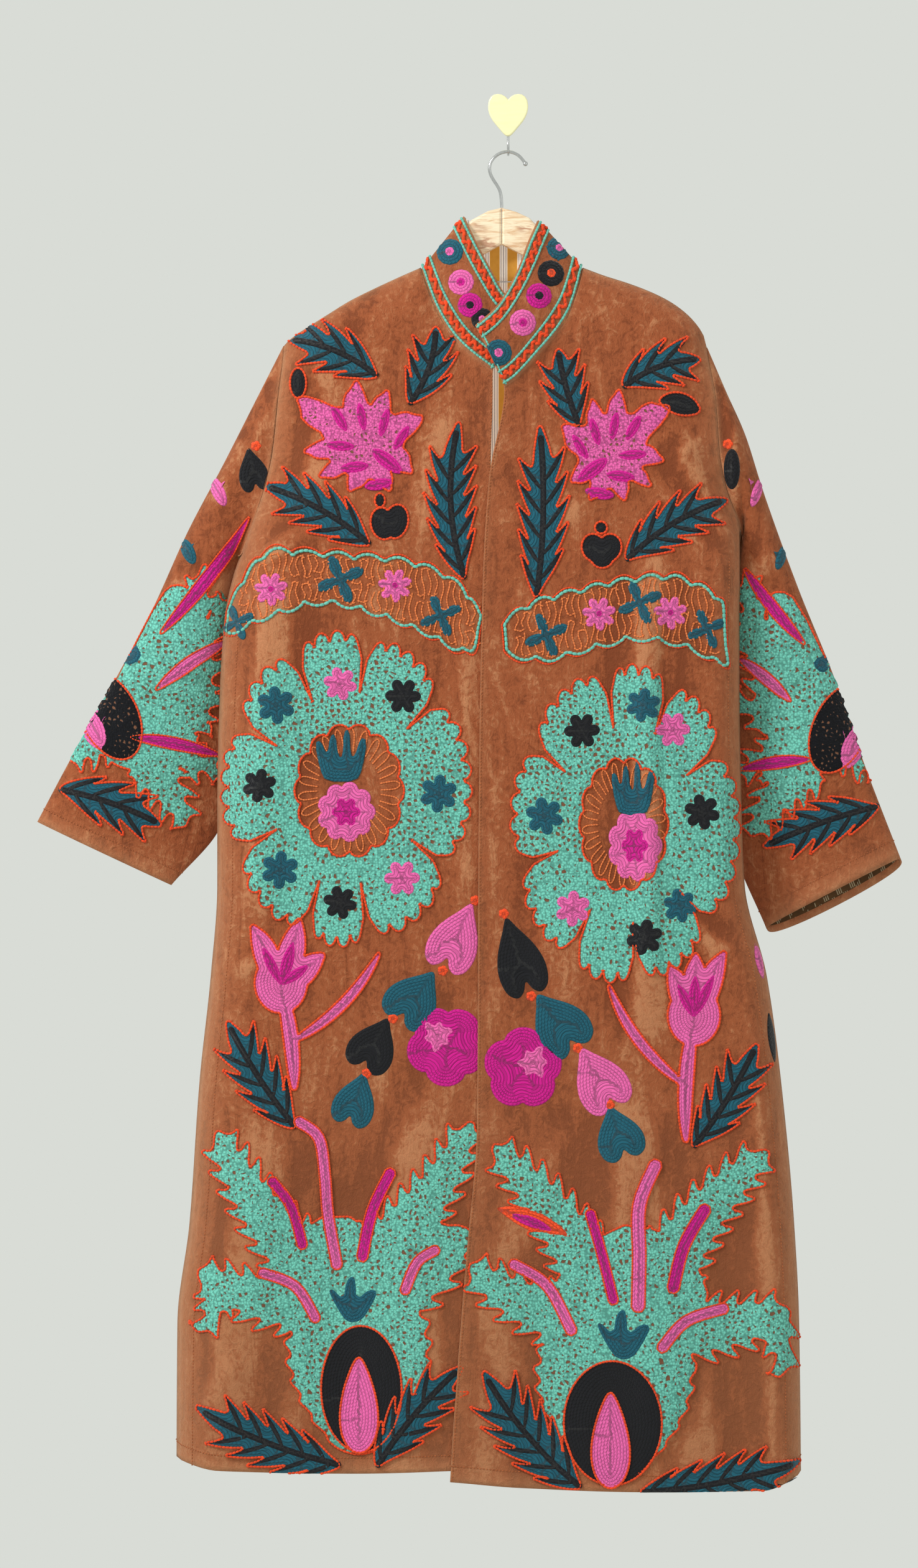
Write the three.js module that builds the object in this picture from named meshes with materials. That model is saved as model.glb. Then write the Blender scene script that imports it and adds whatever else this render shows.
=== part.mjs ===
// A long velvet robe on a wooden hanger that hangs from a small heart-shaped wall hook.
// Millimetres, +Z up, +X towards the wearer's left. The wall is the plane y = 0 and the front faces -Y.
// The origin is the middle of the plaque's back, on the wall.
import * as THREE from 'three';

// Driving dimensions
const cloth = 2.2;            // velvet, its lining and the embroidery together
const liningCloth = 1.0;
const seam = 0.3;             // space left between neighbouring pieces
const sideReach = { left: 30, right: 48 };  // how far the front rounds off from each side seam
const backReach = 150;        // the same on the back, which is softer
const ridgeReach = { front: 50, back: 24 };  // how far below the shoulder line the cloth rounds off
const armholeFront = 20;      // half depth of the open armhole, before and behind its seam line
const armholeBack = 14;
const neckBack = 13;          // depth of the neck behind the shoulder line
const hanger = { thick: 10, y: -30, bevel: 3, joint: -6.6, below: 5.9, belowNeck: 11 };
const hookWire = { radius: 1.6, steps: 34, sides: 8 };
const wallWire = { radius: 1.2, steps: 18, sides: 8 };
const plaque = { width: 40, height: 41, thick: 8, bevel: 1.2 };
const lapLift = 2.6;          // the left front stands this far before the right one where they lap
const lapReach = 34;

// Half sections of the body by height: side seams, depth of the seam line, and how far the
// front and the back stand out from it
const bodyRows = [
  { z: -150, left: -222, right: 195, mid: -30, front: 20, back: 14 },
  { z: -231, left: -223, right: 197, mid: -30, front: 26, back: 14.5 },
  { z: -283, left: -228, right: 205, mid: -31, front: 33, back: 15 },
  { z: -340, left: -234, right: 209, mid: -33, front: 37, back: 16 },
  { z: -375, left: -242, right: 216, mid: -36, front: 38, back: 18 },
  { z: -418, left: -257, right: 230, mid: -40, front: 39, back: 21 },
  { z: -461, left: -273, right: 230, mid: -43, front: 40, back: 24 },
  { z: -500, left: -281, right: 229, mid: -46, front: 40, back: 27 },
  { z: -576, left: -286, right: 229, mid: -48, front: 40, back: 30 },
  { z: -690, left: -288.5, right: 231, mid: -48, front: 41, back: 32 },
  { z: -766, left: -288.5, right: 234, mid: -48, front: 42, back: 32 },
  { z: -857, left: -295, right: 256, mid: -48, front: 43, back: 33 },
  { z: -960, left: -306, right: 270, mid: -48, front: 44, back: 34 },
  { z: -1101, left: -316, right: 283, mid: -48, front: 46, back: 35 },
  { z: -1200, left: -328, right: 288, mid: -48, front: 48, back: 35 },
  { z: -1365, left: -329, right: 290, mid: -48, front: 50, back: 35 },
];
// Front edges by height: the right front's edge lies under the left front's lower down
const openingRows = [
  { z: -240, under: -15.7, over: -4 },
  { z: -274, under: -15.7, over: -4 },
  { z: -365, under: -18, over: -19 },
  { z: -461, under: -16, over: -25 },
  { z: -666, under: -18, over: -29 },
  { z: -999, under: -20, over: -31 },
  { z: -1137, under: -29, over: -42 },
  { z: -1293, under: -41, over: -54 },
  { z: -1360, under: -46, over: -58 },
];
// Shoulder lines from the neck point to the shoulder tip, and necklines from the neck point
// to the centre front
const shoulders = {
  right: [
    { x: -87, z: -153.7 }, { x: -106, z: -162 }, { x: -132, z: -174 }, { x: -158, z: -187 },
    { x: -179, z: -200 }, { x: -198, z: -212 }, { x: -211, z: -220.5 }, { x: -219, z: -227 },
    { x: -223, z: -231.5 },
  ],
  left: [
    { x: 74, z: -153.7 }, { x: 95, z: -161.5 }, { x: 120, z: -169.5 }, { x: 142, z: -178 },
    { x: 160, z: -187 }, { x: 176, z: -198.5 }, { x: 187, z: -210 }, { x: 194, z: -221 },
    { x: 198, z: -233 },
  ],
};
const necklines = {
  right: [
    { x: -87, z: -153.7 }, { x: -80.5, z: -174 }, { x: -73, z: -194 }, { x: -64, z: -211 },
    { x: -54.5, z: -225 }, { x: -44.5, z: -235.5 }, { x: -34, z: -244.5 }, { x: -24.5, z: -251.5 },
    { x: -15.7, z: -258 },
  ],
  left: [
    { x: 74, z: -153.7 }, { x: 69, z: -175 }, { x: 61.5, z: -198 }, { x: 51, z: -216 },
    { x: 40, z: -230 }, { x: 28, z: -243.5 }, { x: 16, z: -257 }, { x: 5, z: -268 },
    { x: -4, z: -274 },
  ],
};
const frontNeckDepth = { right: 31, left: 37 };   // the left front lies before the right one
const backNeck = { z: -167, columns: 9 };
const armpitZ = { right: -440, left: -418 };
const hems = {
  right: [{ c: 0, z: -1341 }, { c: 0.4, z: -1344 }, { c: 0.85, z: -1341 }, { c: 1, z: -1332 }],
  left: [{ c: 0, z: -1352 }, { c: 0.2, z: -1358 }, { c: 0.55, z: -1362 }, { c: 0.88, z: -1361 },
    { c: 1, z: -1346 }],
  back: [{ c: 0, z: -1332 }, { c: 0.3, z: -1338 }, { c: 0.7, z: -1345 }, { c: 1, z: -1346 }],
};
// Rows of points: shares of the way from the top edge to the armpit's height, then to the hem
const upperRows = [0, 0.006, 0.03, 0.1, 0.21, 0.35, 0.5, 0.65, 0.79, 0.9, 0.97, 1];
const lowerRowCount = 14;

// Largest folds, from one end to the other, positive where they stand out
const folds = {
  left: [
    { x0: 141, z0: -455, x1: 139, z1: -900, width: 17, height: 9 },
    { x0: 172, z0: -330, x1: 214, z1: -392, width: 16, height: 7 },
    { x0: 118, z0: -980, x1: 150, z1: -1330, width: 30, height: 7 },
    { x0: 40, z0: -1120, x1: 30, z1: -1350, width: 26, height: -5 },
    { x0: 216, z0: -1080, x1: 232, z1: -1350, width: 28, height: -8 },
  ],
  right: [
    { x0: -196, z0: -262, x1: -228, z1: -400, width: 16, height: -5 },
    { x0: -232, z0: -470, x1: -246, z1: -800, width: 24, height: 5 },
    { x0: -238, z0: -1010, x1: -280, z1: -1330, width: 28, height: 8 },
    { x0: -160, z0: -1050, x1: -170, z1: -1340, width: 30, height: -6 },
    { x0: -90, z0: -1000, x1: -96, z1: -1335, width: 26, height: 5 },
  ],
  back: [
    { x0: -120, z0: -420, x1: -150, z1: -1330, width: 34, height: 5 },
    { x0: -30, z0: -500, x1: -40, z1: -1330, width: 34, height: -7 },
    { x0: 70, z0: -460, x1: 92, z1: -1340, width: 36, height: 6 },
    { x0: 170, z0: -700, x1: 190, z1: -1340, width: 32, height: -5 },
  ],
};

// Sleeves by section: outer and inner fold lines, their depths, and how far the front and the
// back of the tube stand out from the line between them
const sleeveRows = {
  right: [
    { outX: -223, outZ: -231.5, inX: -264, inZ: -440, outY: -30, inY: -41, front: 20, back: 14 },
    { outX: -250, outZ: -284, inX: -273, inZ: -452, outY: -31, inY: -33, front: 24, back: 15 },
    { outX: -282, outZ: -347, inX: -280, inZ: -484, outY: -31, inY: -21, front: 26, back: 15 },
    { outX: -318, outZ: -415, inX: -273, inZ: -534, outY: -31, inY: -18, front: 26, back: 14 },
    { outX: -355, outZ: -496, inX: -270, inZ: -600, outY: -31, inY: -17, front: 25, back: 13 },
    { outX: -389, outZ: -560, inX: -272, inZ: -652, outY: -31, inY: -18, front: 24, back: 13 },
    { outX: -434, outZ: -640, inX: -286, inZ: -708, outY: -30, inY: -20, front: 22, back: 13 },
    { outX: -468, outZ: -704, inX: -335, inZ: -767, outY: -30, inY: -26, front: 18, back: 13 },
  ],
  left: [
    { outX: 198, outZ: -233, inX: 230, inZ: -418, outY: -30, inY: -40, front: 20, back: 14 },
    { outX: 216, outZ: -276, inX: 235.5, inZ: -428, outY: -31, inY: -33, front: 24, back: 15 },
    { outX: 235, outZ: -319, inX: 233, inZ: -455, outY: -31, inY: -21, front: 26, back: 15 },
    { outX: 254, outZ: -378, inX: 216, inZ: -500, outY: -31, inY: -17, front: 26, back: 14 },
    { outX: 288, outZ: -472, inX: 211, inZ: -570, outY: -31, inY: -17, front: 25, back: 13 },
    { outX: 322, outZ: -556, inX: 211, inZ: -640, outY: -31, inY: -17, front: 24, back: 13 },
    { outX: 355, outZ: -650, inX: 224, inZ: -728, outY: -30, inY: -19, front: 23, back: 13 },
    { outX: 390, outZ: -741, inX: 256.5, inZ: -810, outY: -30, inY: -26, front: 20, back: 14 },
  ],
};
const sleeveRings = 15;
const sleeveSkew = 0.5;       // the front of a sleeve lies lower towards the body

// Top edge of the collar: u is 0 at the right end, 1 and 2 at the neck points, 3 at the left end
const collarTop = [
  { u: 0, x: 15, y: -55, z: -197 },
  { u: 0.3, x: -5, y: -54, z: -179 },
  { u: 0.55, x: -18, y: -52, z: -156 },
  { u: 0.8, x: -34, y: -45, z: -125 },
  { u: 1, x: -44.5, y: -32, z: -102.8 },
  { u: 1.2, x: -34, y: -18, z: -110 },
  { u: 1.5, x: -7, y: -13, z: -119 },
  { u: 1.8, x: 21, y: -18, z: -113 },
  { u: 2, x: 29.8, y: -32, z: -106.6 },
  { u: 2.2, x: 21, y: -46, z: -126 },
  { u: 2.5, x: 8, y: -57, z: -160 },
  { u: 2.75, x: -11, y: -63, z: -193 },
  { u: 3, x: -33, y: -67, z: -213.5 },
];
const collarRows = [0, 0.3, 0.65, 1];
const collarRoll = 4;         // the band's middle stands out from the line between its edges

// Arms of the hanger: upper edge beside the neck, and lower edge
const armRows = {
  right: {
    top: [{ x: -20, z: -97.5 }, { x: -37, z: -106.8 }, { x: -44, z: -114 }, { x: -50, z: -122 },
      { x: -59, z: -140.5 }, { x: -71, z: -161.5 }],
    bottom: [{ x: -190, z: -236 }, { x: -160, z: -218 }, { x: -120, z: -197 }, { x: -87, z: -180 },
      { x: -50, z: -158 }, { x: -24, z: -140.5 }],
    tip: { x: -197, z: -226 },
  },
  left: {
    top: [{ x: 8, z: -98.5 }, { x: 21, z: -104.5 }, { x: 27, z: -111 }, { x: 36, z: -126 },
      { x: 46, z: -144 }, { x: 58, z: -161.5 }],
    bottom: [{ x: 168, z: -228 }, { x: 142, z: -210 }, { x: 110, z: -196 }, { x: 74, z: -180 },
      { x: 40, z: -160 }, { x: 14, z: -141.5 }],
    tip: { x: 176, z: -218 },
  },
};
const apexZ = -94.4;
const notchZ = -131;

const colours = {
  velvet: '#a35a30', wood: '#e0c79c', wire: '#c3c6c8', plaque: '#eee9b4', stripes: '#c79a3f',
};

// Smooth value of one column of a table at a given key, without overshoot between rows
function at(rows, key, value, column) {
  const up = rows[rows.length - 1][key] > rows[0][key] ? 1 : -1;
  let i = 0;
  while (i < rows.length - 2 && (value - rows[i + 1][key]) * up > 0) i += 1;
  const slope = (k) => (rows[k + 1][column] - rows[k][column]) / (rows[k + 1][key] - rows[k][key]);
  const tangent = (k) => {
    if (k === 0) return slope(0);
    if (k === rows.length - 1) return slope(k - 1);
    const before = slope(k - 1);
    const after = slope(k);
    return before * after <= 0 ? 0 : (2 * before * after) / (before + after);
  };
  const span = rows[i + 1][key] - rows[i][key];
  const t = Math.min(Math.max((value - rows[i][key]) / span, 0), 1);
  const a = rows[i][column];
  const b = rows[i + 1][column];
  const m = tangent(i) * span;
  const n = tangent(i + 1) * span;
  return a * (1 + 2 * t) * (1 - t) ** 2 + m * t * (1 - t) ** 2 + b * t * t * (3 - 2 * t) + n * t * t * (t - 1);
}

const lerp = (a, b, t) => a + (b - a) * t;
const vec = (x, y, z) => new THREE.Vector3(x, y, z);

// Quarter round from 0 at an edge to 1 past its reach
function roundOff(distance, reach, power = 0.5) {
  const q = Math.min(Math.max(distance / reach, 0), 1);
  return (1 - (1 - q) ** 2) ** power;
}

// 0 at the shoulder tip and at the armpit, 1 halfway down the armhole
function armholeShape(side, z) {
  const tip = shoulders[side][shoulders[side].length - 1].z;
  const share = Math.min(Math.max((tip - z) / (tip - armpitZ[side]), 0), 1);
  return Math.sqrt(Math.sin(Math.PI * share) + 1e-9);
}

const sideX = (side, z) => at(bodyRows, 'z', z, side === 'left' ? 'right' : 'left');
const frontEdgeX = (side, z) => at(openingRows, 'z', z, side === 'left' ? 'over' : 'under');

// How far the folds of a panel raise the point (x, z)
function foldHeight(panel, x, z) {
  let height = 0;
  for (const fold of folds[panel]) {
    const along = vec(fold.x1 - fold.x0, 0, fold.z1 - fold.z0);
    const toPoint = vec(x - fold.x0, 0, z - fold.z0);
    const t = Math.min(Math.max(toPoint.dot(along) / along.lengthSq(), 0), 1);
    const away = toPoint.addScaledVector(along, -t).length();
    height += fold.height * Math.exp(-((away / fold.width) ** 2)) * Math.min(1, 0.25 + 2.2 * Math.sin(Math.PI * t));
  }
  return height;
}

// Point of a front panel: c is 0 at the front edge and 1 at the side seam or armhole
function frontPoint(side, c, z, topZ, topDepth) {
  const edge = sideX(side, z);
  const x = lerp(frontEdgeX(side, z), edge, c);
  const open = armholeShape(side, z);
  const fromSide = Math.abs(edge - x);
  const reach = lerp(sideReach[side], 60, open);
  const armDepth = armholeFront * open;
  const full = at(bodyRows, 'z', z, 'front');
  let depth = armDepth + (full - armDepth) * roundOff(fromSide, reach, lerp(0.5, 1, open));
  depth = topDepth + (depth - topDepth) * roundOff(topZ - z, ridgeReach.front);
  const fromEdge = Math.abs(x - frontEdgeX(side, z));
  const lap = (1 - roundOff(fromEdge, lapReach, 1)) * Math.min((topZ - z) / 60, 1);
  depth += (side === 'left' ? lapLift : -lapLift * 0.5) * lap;
  const ease = Math.min(fromSide / 40, 1) * Math.min((topZ - z) / 60, 1) * Math.min((fromEdge + 4) / 30, 1);
  depth += foldHeight(side, x, z) * ease;
  return vec(x, at(bodyRows, 'z', z, 'mid') - Math.max(depth, seam / 2), z);
}

// Point of the back panel: c is 0 at the right side seam and 1 at the left one
function backPoint(c, z, topZ, topDepth) {
  const from = sideX('right', z);
  const to = sideX('left', z);
  const x = lerp(from, to, c);
  const side = c < 0.5 ? 'right' : 'left';
  const open = armholeShape(side, z);
  const fromSide = Math.min(x - from, to - x);
  const armDepth = armholeBack * open;
  const full = at(bodyRows, 'z', z, 'back');
  let depth = armDepth + (full - armDepth) * roundOff(fromSide, backReach, lerp(0.5, 1, open));
  depth = topDepth + (depth - topDepth) * roundOff(topZ - z, ridgeReach.back);
  depth += foldHeight('back', x, z) * Math.min(fromSide / 60, 1) * Math.min((topZ - z) / 90, 1);
  return vec(x, at(bodyRows, 'z', z, 'mid') + Math.max(depth, seam / 2), z);
}

// Heights of a column's points, from its top to the armpit's level and on to the hem
function columnHeights(topZ, levelZ, hemZ) {
  const upper = upperRows.map((share) => lerp(topZ, levelZ, share));
  const lower = Array.from({ length: lowerRowCount }, (_, i) => lerp(levelZ, hemZ, (i + 1) / lowerRowCount));
  return [...upper, ...lower];
}

// Outward direction shared by both pieces along an armhole
function armholeNormal(side, z, face) {
  const out = side === 'left' ? 1 : -1;
  const tip = shoulders[side][shoulders[side].length - 1].z;
  const t = Math.min(Math.max((tip - z) / (tip - armpitZ[side]), 0), 1);
  const top = Math.cos((Math.PI * t) / 2) ** 2;
  const pit = Math.sin((Math.PI * t) / 2) ** 2;
  const flat = 1.2 * Math.sin(Math.PI * t);
  return vec(out * (0.6 * top + 0.7 * pit), face * flat, 0.8 * top - 0.7 * pit).normalize();
}

// Outward direction of a shoulder seam at one of its points
function shoulderNormal(side, k) {
  const rows = shoulders[side];
  const a = rows[Math.max(k - 1, 0)];
  const b = rows[Math.min(k + 1, rows.length - 1)];
  const out = side === 'left' ? 1 : -1;
  return vec(out * Math.abs(b.z - a.z), 0, Math.abs(b.x - a.x)).normalize();
}

// Outward direction shared by the panels and the collar along the neckline: share is 0 at the
// centre front or back and 1 at the neck point
function neckNormal(side, share, face) {
  return vec(0, face, 0.3).lerp(shoulderNormal(side, 0), share ** 3).normalize();
}

// Columns of a front panel from its front edge to the armhole
function frontColumns(side) {
  const neck = [...necklines[side]].reverse();
  const frontX = neck[0].x;
  const neckX = shoulders[side][0].x;
  const columns = neck.map((p) => {
    const share = Math.min(Math.abs((p.x - frontX) / (neckX - frontX)), 1);
    const depth = frontNeckDepth[side] * Math.sqrt(1 - share * share);
    return { x: p.x, z: p.z, depth, normal: neckNormal(side, share, -1) };
  });
  shoulders[side].slice(1).forEach((p, k) => {
    columns.push({ x: p.x, z: p.z, depth: 0, normal: shoulderNormal(side, k + 1) });
  });
  return columns;
}

function frontPanel(side) {
  const columns = frontColumns(side);
  const out = side === 'left' ? 1 : -1;
  const grid = columns.map((column, j) => {
    const last = j === columns.length - 1;
    const edge = sideX(side, column.z);
    const c = last ? 1 : (column.x - frontEdgeX(side, column.z)) / (edge - frontEdgeX(side, column.z));
    const heights = columnHeights(column.z, armpitZ[side], at(hems[side], 'c', c, 'z'));
    return heights.map((z, i) => {
      const p = frontPoint(side, c, z, column.z, column.depth);
      let normal = null;
      if (i === 0) normal = column.normal;
      if (last && i > 0) normal = i < upperRows.length ? armholeNormal(side, z, -1) : vec(out, 0, 0);
      return { p, normal };
    });
  });
  return grid;
}

function backColumns() {
  const right = shoulders.right.map((p, k) => ({ ...p, depth: 0, normal: shoulderNormal('right', k) })).reverse();
  const left = shoulders.left.map((p, k) => ({ ...p, depth: 0, normal: shoulderNormal('left', k) }));
  const neck = [];
  for (let k = 1; k < backNeck.columns; k += 1) {
    const t = k / backNeck.columns;
    const bow = Math.sqrt(Math.sin(Math.PI * t));
    const x = lerp(shoulders.right[0].x, shoulders.left[0].x, t);
    const normal = neckNormal(t < 0.5 ? 'right' : 'left', Math.abs(2 * t - 1), 1);
    neck.push({ x, z: lerp(shoulders.right[0].z, backNeck.z, bow), depth: neckBack * bow, normal });
  }
  return [...right, ...neck, ...left];
}

function backPanel() {
  const columns = backColumns();
  const last = columns.length - 1;
  return columns.map((column, j) => {
    const from = sideX('right', column.z);
    const to = sideX('left', column.z);
    let c = (column.x - from) / (to - from);
    if (j === 0) c = 0;
    if (j === last) c = 1;
    const level = lerp(armpitZ.right, armpitZ.left, c);
    const side = j === 0 ? 'right' : 'left';
    return columnHeights(column.z, level, at(hems.back, 'c', c, 'z')).map((z, i) => {
      const p = backPoint(c, z, column.z, column.depth);
      let normal = null;
      if (i === 0) normal = column.normal;
      if ((j === 0 || j === last) && i > 0) {
        normal = i < upperRows.length ? armholeNormal(side, z, 1) : vec(side === 'left' ? 1 : -1, 0, 0);
      }
      return { p, normal };
    });
  });
}

// Unit normals of a grid of points, by central differences; wraps round where it is a tube
function gridNormals(grid, outward, round) {
  const rows = grid.length;
  return grid.map((line, i) => line.map((node, j) => {
    if (node.normal) return node.normal.clone();
    const n = line.length;
    const before = round ? line[(j + n - 1) % n] : line[Math.max(j - 1, 0)];
    const after = round ? line[(j + 1) % n] : line[Math.min(j + 1, n - 1)];
    const across = grid[Math.min(i + 1, rows - 1)][j].p.clone().sub(grid[Math.max(i - 1, 0)][j].p);
    return after.p.clone().sub(before.p).cross(across).normalize().multiplyScalar(outward);
  }));
}

// Closed wall between a grid of points and the same grid moved inwards by its thickness.
// A face of -1 or 1 keeps a panel on its own side of the seam line's depth.
function wall(grid, { outward, thick, round = false, start = 0, face = 0 }) {
  const normals = gridNormals(grid, outward, round);
  const rows = grid.length;
  const n = grid[0].length;
  const points = [];
  const shift = (depth) => grid.forEach((line, i) => line.forEach((node, j) => {
    const p = node.p.clone().addScaledVector(normals[i][j], -depth);
    const limit = at(bodyRows, 'z', p.z, 'mid') + (face * seam) / 2;
    if (face && (p.y - limit) * face < 0) p.y = limit;
    points.push(p);
  }));
  shift(start);
  shift(start + thick);
  const id = (layer, i, j) => layer * rows * n + i * n + (j % n);
  const faces = [];
  const quad = (a, b, c, d) => faces.push([a, b, c], [a, c, d]);
  const spans = round ? n : n - 1;
  for (let i = 0; i < rows - 1; i += 1) {
    for (let j = 0; j < spans; j += 1) {
      quad(id(0, i, j), id(0, i, j + 1), id(0, i + 1, j + 1), id(0, i + 1, j));
      quad(id(1, i, j), id(1, i + 1, j), id(1, i + 1, j + 1), id(1, i, j + 1));
    }
  }
  for (let j = 0; j < spans; j += 1) {
    quad(id(0, 0, j), id(1, 0, j), id(1, 0, j + 1), id(0, 0, j + 1));
    quad(id(0, rows - 1, j), id(0, rows - 1, j + 1), id(1, rows - 1, j + 1), id(1, rows - 1, j));
  }
  if (!round) {
    for (let i = 0; i < rows - 1; i += 1) {
      quad(id(0, i, 0), id(0, i + 1, 0), id(1, i + 1, 0), id(1, i, 0));
      quad(id(0, i, n - 1), id(1, i, n - 1), id(1, i + 1, n - 1), id(0, i + 1, n - 1));
    }
  }
  return solid(points, faces);
}

// Geometry from points and triangles, turned outwards where its volume comes out negative
function solid(points, faces) {
  let volume = 0;
  for (const [a, b, c] of faces) volume += points[a].dot(points[b].clone().cross(points[c]));
  const index = faces.flatMap(([a, b, c]) => (volume > 0 ? [a, b, c] : [a, c, b]));
  const geometry = new THREE.BufferGeometry();
  geometry.setAttribute('position', new THREE.Float32BufferAttribute(points.flatMap((p) => [p.x, p.y, p.z]), 3));
  geometry.setIndex(index);
  geometry.computeVertexNormals();
  return geometry;
}

// Rings of a sleeve: each runs down the front from the outer fold and back up behind
function sleeveGrid(side, front, back) {
  const out = side === 'left' ? 1 : -1;
  const count = upperRows.length;
  const frontEdge = front[front.length - 1].slice(0, count);
  const backEdge = (side === 'right' ? back[0] : back[back.length - 1]).slice(0, count);
  const tipZ = frontEdge[0].p.z;
  const seamRing = [...frontEdge, ...backEdge.slice(1, -1).reverse()];
  const first = seamRing.map(({ p, normal }, k) => {
    const place = p.clone();
    place.x += out * (seam + 0.2);
    if (k === 0 || k === count - 1) place.y = (frontEdge[k].p.y + backEdge[k].p.y) / 2;
    return { p: place, normal: normal ? normal.clone() : null };
  });
  const rows = sleeveRows[side].map((row, k) => ({ ...row, t: k / (sleeveRows[side].length - 1) }));
  const ringAt = (t, k) => {
    const share = Math.min(Math.max((tipZ - seamRing[k].p.z) / (tipZ - armpitZ[side]), 0), 1);
    const face = k < count ? -1 : 1;
    const bulge = Math.sqrt(1 - (2 * share - 1) ** 2);
    const skew = face < 0 ? 1 - sleeveSkew * share * share : 1;
    const half = at(rows, 't', t, face < 0 ? 'front' : 'back') * bulge * skew;
    return vec(
      lerp(at(rows, 't', t, 'outX'), at(rows, 't', t, 'inX'), share),
      lerp(at(rows, 't', t, 'outY'), at(rows, 't', t, 'inY'), share) + face * half,
      lerp(at(rows, 't', t, 'outZ'), at(rows, 't', t, 'inZ'), share),
    );
  };
  const grid = [first];
  for (let r = 1; r < sleeveRings; r += 1) {
    const t = r / (sleeveRings - 1);
    const settle = Math.min(t / 0.2, 1);
    const keep = (1 - settle) ** 2;
    grid.push(seamRing.map((_, k) => {
      const offset = first[k].p.clone().sub(ringAt(0, k));
      return { p: ringAt(t, k).addScaledVector(offset, keep), normal: null };
    }));
  }
  return grid;
}

// Neck edge of the panels, from the right front's end round the back to the left front's end
function neckLoop(fronts, back) {
  const take = (grid, from, to) => grid.slice(from, to).map((line) => {
    const normal = line[0].normal;
    const outward = line[0].p.clone().sub(line[3].p);
    outward.addScaledVector(normal, -outward.dot(normal)).normalize();
    return { p: line[0].p.clone(), outward, normal };
  });
  const n = necklines.right.length;
  const first = shoulders.right.length - 1;
  const right = take(fronts.right, 0, n);
  const middle = take(back, first + 1, first + backNeck.columns);
  const left = take(fronts.left, 0, n).reverse();
  right[n - 1].outward = vec(0.9, 0, 0.3).normalize();
  left[0].outward = vec(-0.9, 0, 0.3).normalize();
  return [right, middle, left];
}

function collarGrid(fronts, back) {
  const parts = neckLoop(fronts, back);
  const loop = [];
  parts.forEach((part, k) => {
    const steps = k === 1 ? part.length + 1 : part.length - 1;
    part.forEach((node, i) => {
      loop.push({ ...node, u: k + (k === 1 ? i + 1 : i) / steps });
    });
  });
  return collarRows.map((b) => loop.map(({ p, outward, normal, u }) => {
    const bottom = p.clone().addScaledVector(outward, seam + 0.15);
    const top = vec(...['x', 'y', 'z'].map((axis) => at(collarTop, 'u', u, axis)));
    const place = bottom.clone().lerp(top, b);
    const round = vec(0, u > 1 && u < 2 ? 1 : -1, 0.3).normalize();
    const side = Math.min(Math.abs(u - 1), Math.abs(u - 2), 0.4) / 0.4;
    place.addScaledVector(round, collarRoll * side * Math.sin(Math.PI * b) ** 2);
    return { p: place, normal: b === 0 ? normal : null };
  }));
}

// Part of a grid
const patch = (grid, i0, i1, j0, j1) => grid.slice(i0, i1).map((line) => line.slice(j0, j1));

// Upper edge of one arm of the hanger: beside the neck, then just under the shoulder seam
function armOutline(side) {
  const { top, bottom, tip } = armRows[side];
  const out = side === 'left' ? 1 : -1;
  const joint = hanger.joint + (out * seam) / 2;
  const under = shoulders[side].slice(0, 6).map((p, k) => {
    const n = shoulderNormal(side, k);
    const below = k === 0 ? hanger.belowNeck : hanger.below;
    return new THREE.Vector2(p.x - n.x * below, p.z - n.z * below);
  }).filter((p) => Math.abs(p.x) < Math.abs(tip.x) - 4);
  return [
    new THREE.Vector2(joint, apexZ),
    ...top.map((p) => new THREE.Vector2(p.x, p.z)),
    ...under,
    new THREE.Vector2(tip.x, tip.z),
    ...bottom.map((p) => new THREE.Vector2(p.x, p.z)),
    new THREE.Vector2(joint, notchZ),
  ];
}

function hangerArm(side) {
  const shape = new THREE.Shape(armOutline(side));
  const geometry = new THREE.ExtrudeGeometry(shape, {
    depth: hanger.thick - 2 * hanger.bevel,
    bevelThickness: hanger.bevel,
    bevelSize: hanger.bevel * 0.8,
    bevelOffset: -hanger.bevel * 0.8,
    bevelSegments: 2,
    curveSegments: 1,
  });
  geometry.translate(0, 0, -hanger.thick / 2 + hanger.bevel);
  geometry.rotateX(Math.PI / 2);
  return geometry.translate(0, hanger.y, 0);
}

// Wire of a given radius along a smooth line through points
function wire(points, { radius, steps, sides }) {
  const section = new THREE.Shape();
  section.absarc(0, 0, radius, 0, Math.PI * 2);
  const path = new THREE.CatmullRomCurve3(points.map((p) => vec(...p)), false, 'centripetal');
  return new THREE.ExtrudeGeometry(section, { steps, curveSegments: sides, bevelEnabled: false, extrudePath: path });
}

function hangerHook() {
  const y = hanger.y;
  return wire([
    [18.5, y, -47], [17, y, -50.5], [12.5, y, -43.4], [6, y, -39.4], [-1, y, -38.1], [-8.5, y, -39.7],
    [-15, y, -44.5], [-19, y, -51.5], [-18.8, y, -59.5], [-14.5, y, -67.5], [-9.5, y, -74], [-6.8, y, -81],
    [-6.6, y, apexZ + seam + 0.2],
  ].slice(1), hookWire);
}

function wallHook() {
  return wire([
    [0, -5, -20.8], [0, -5, -33], [0, -8.5, -38.5], [0, -16, -40.4], [0, -24, -41.3], [0, -31, -41.3],
    [0, -35.5, -38], [0, -36, -32],
  ], wallWire);
}

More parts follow.
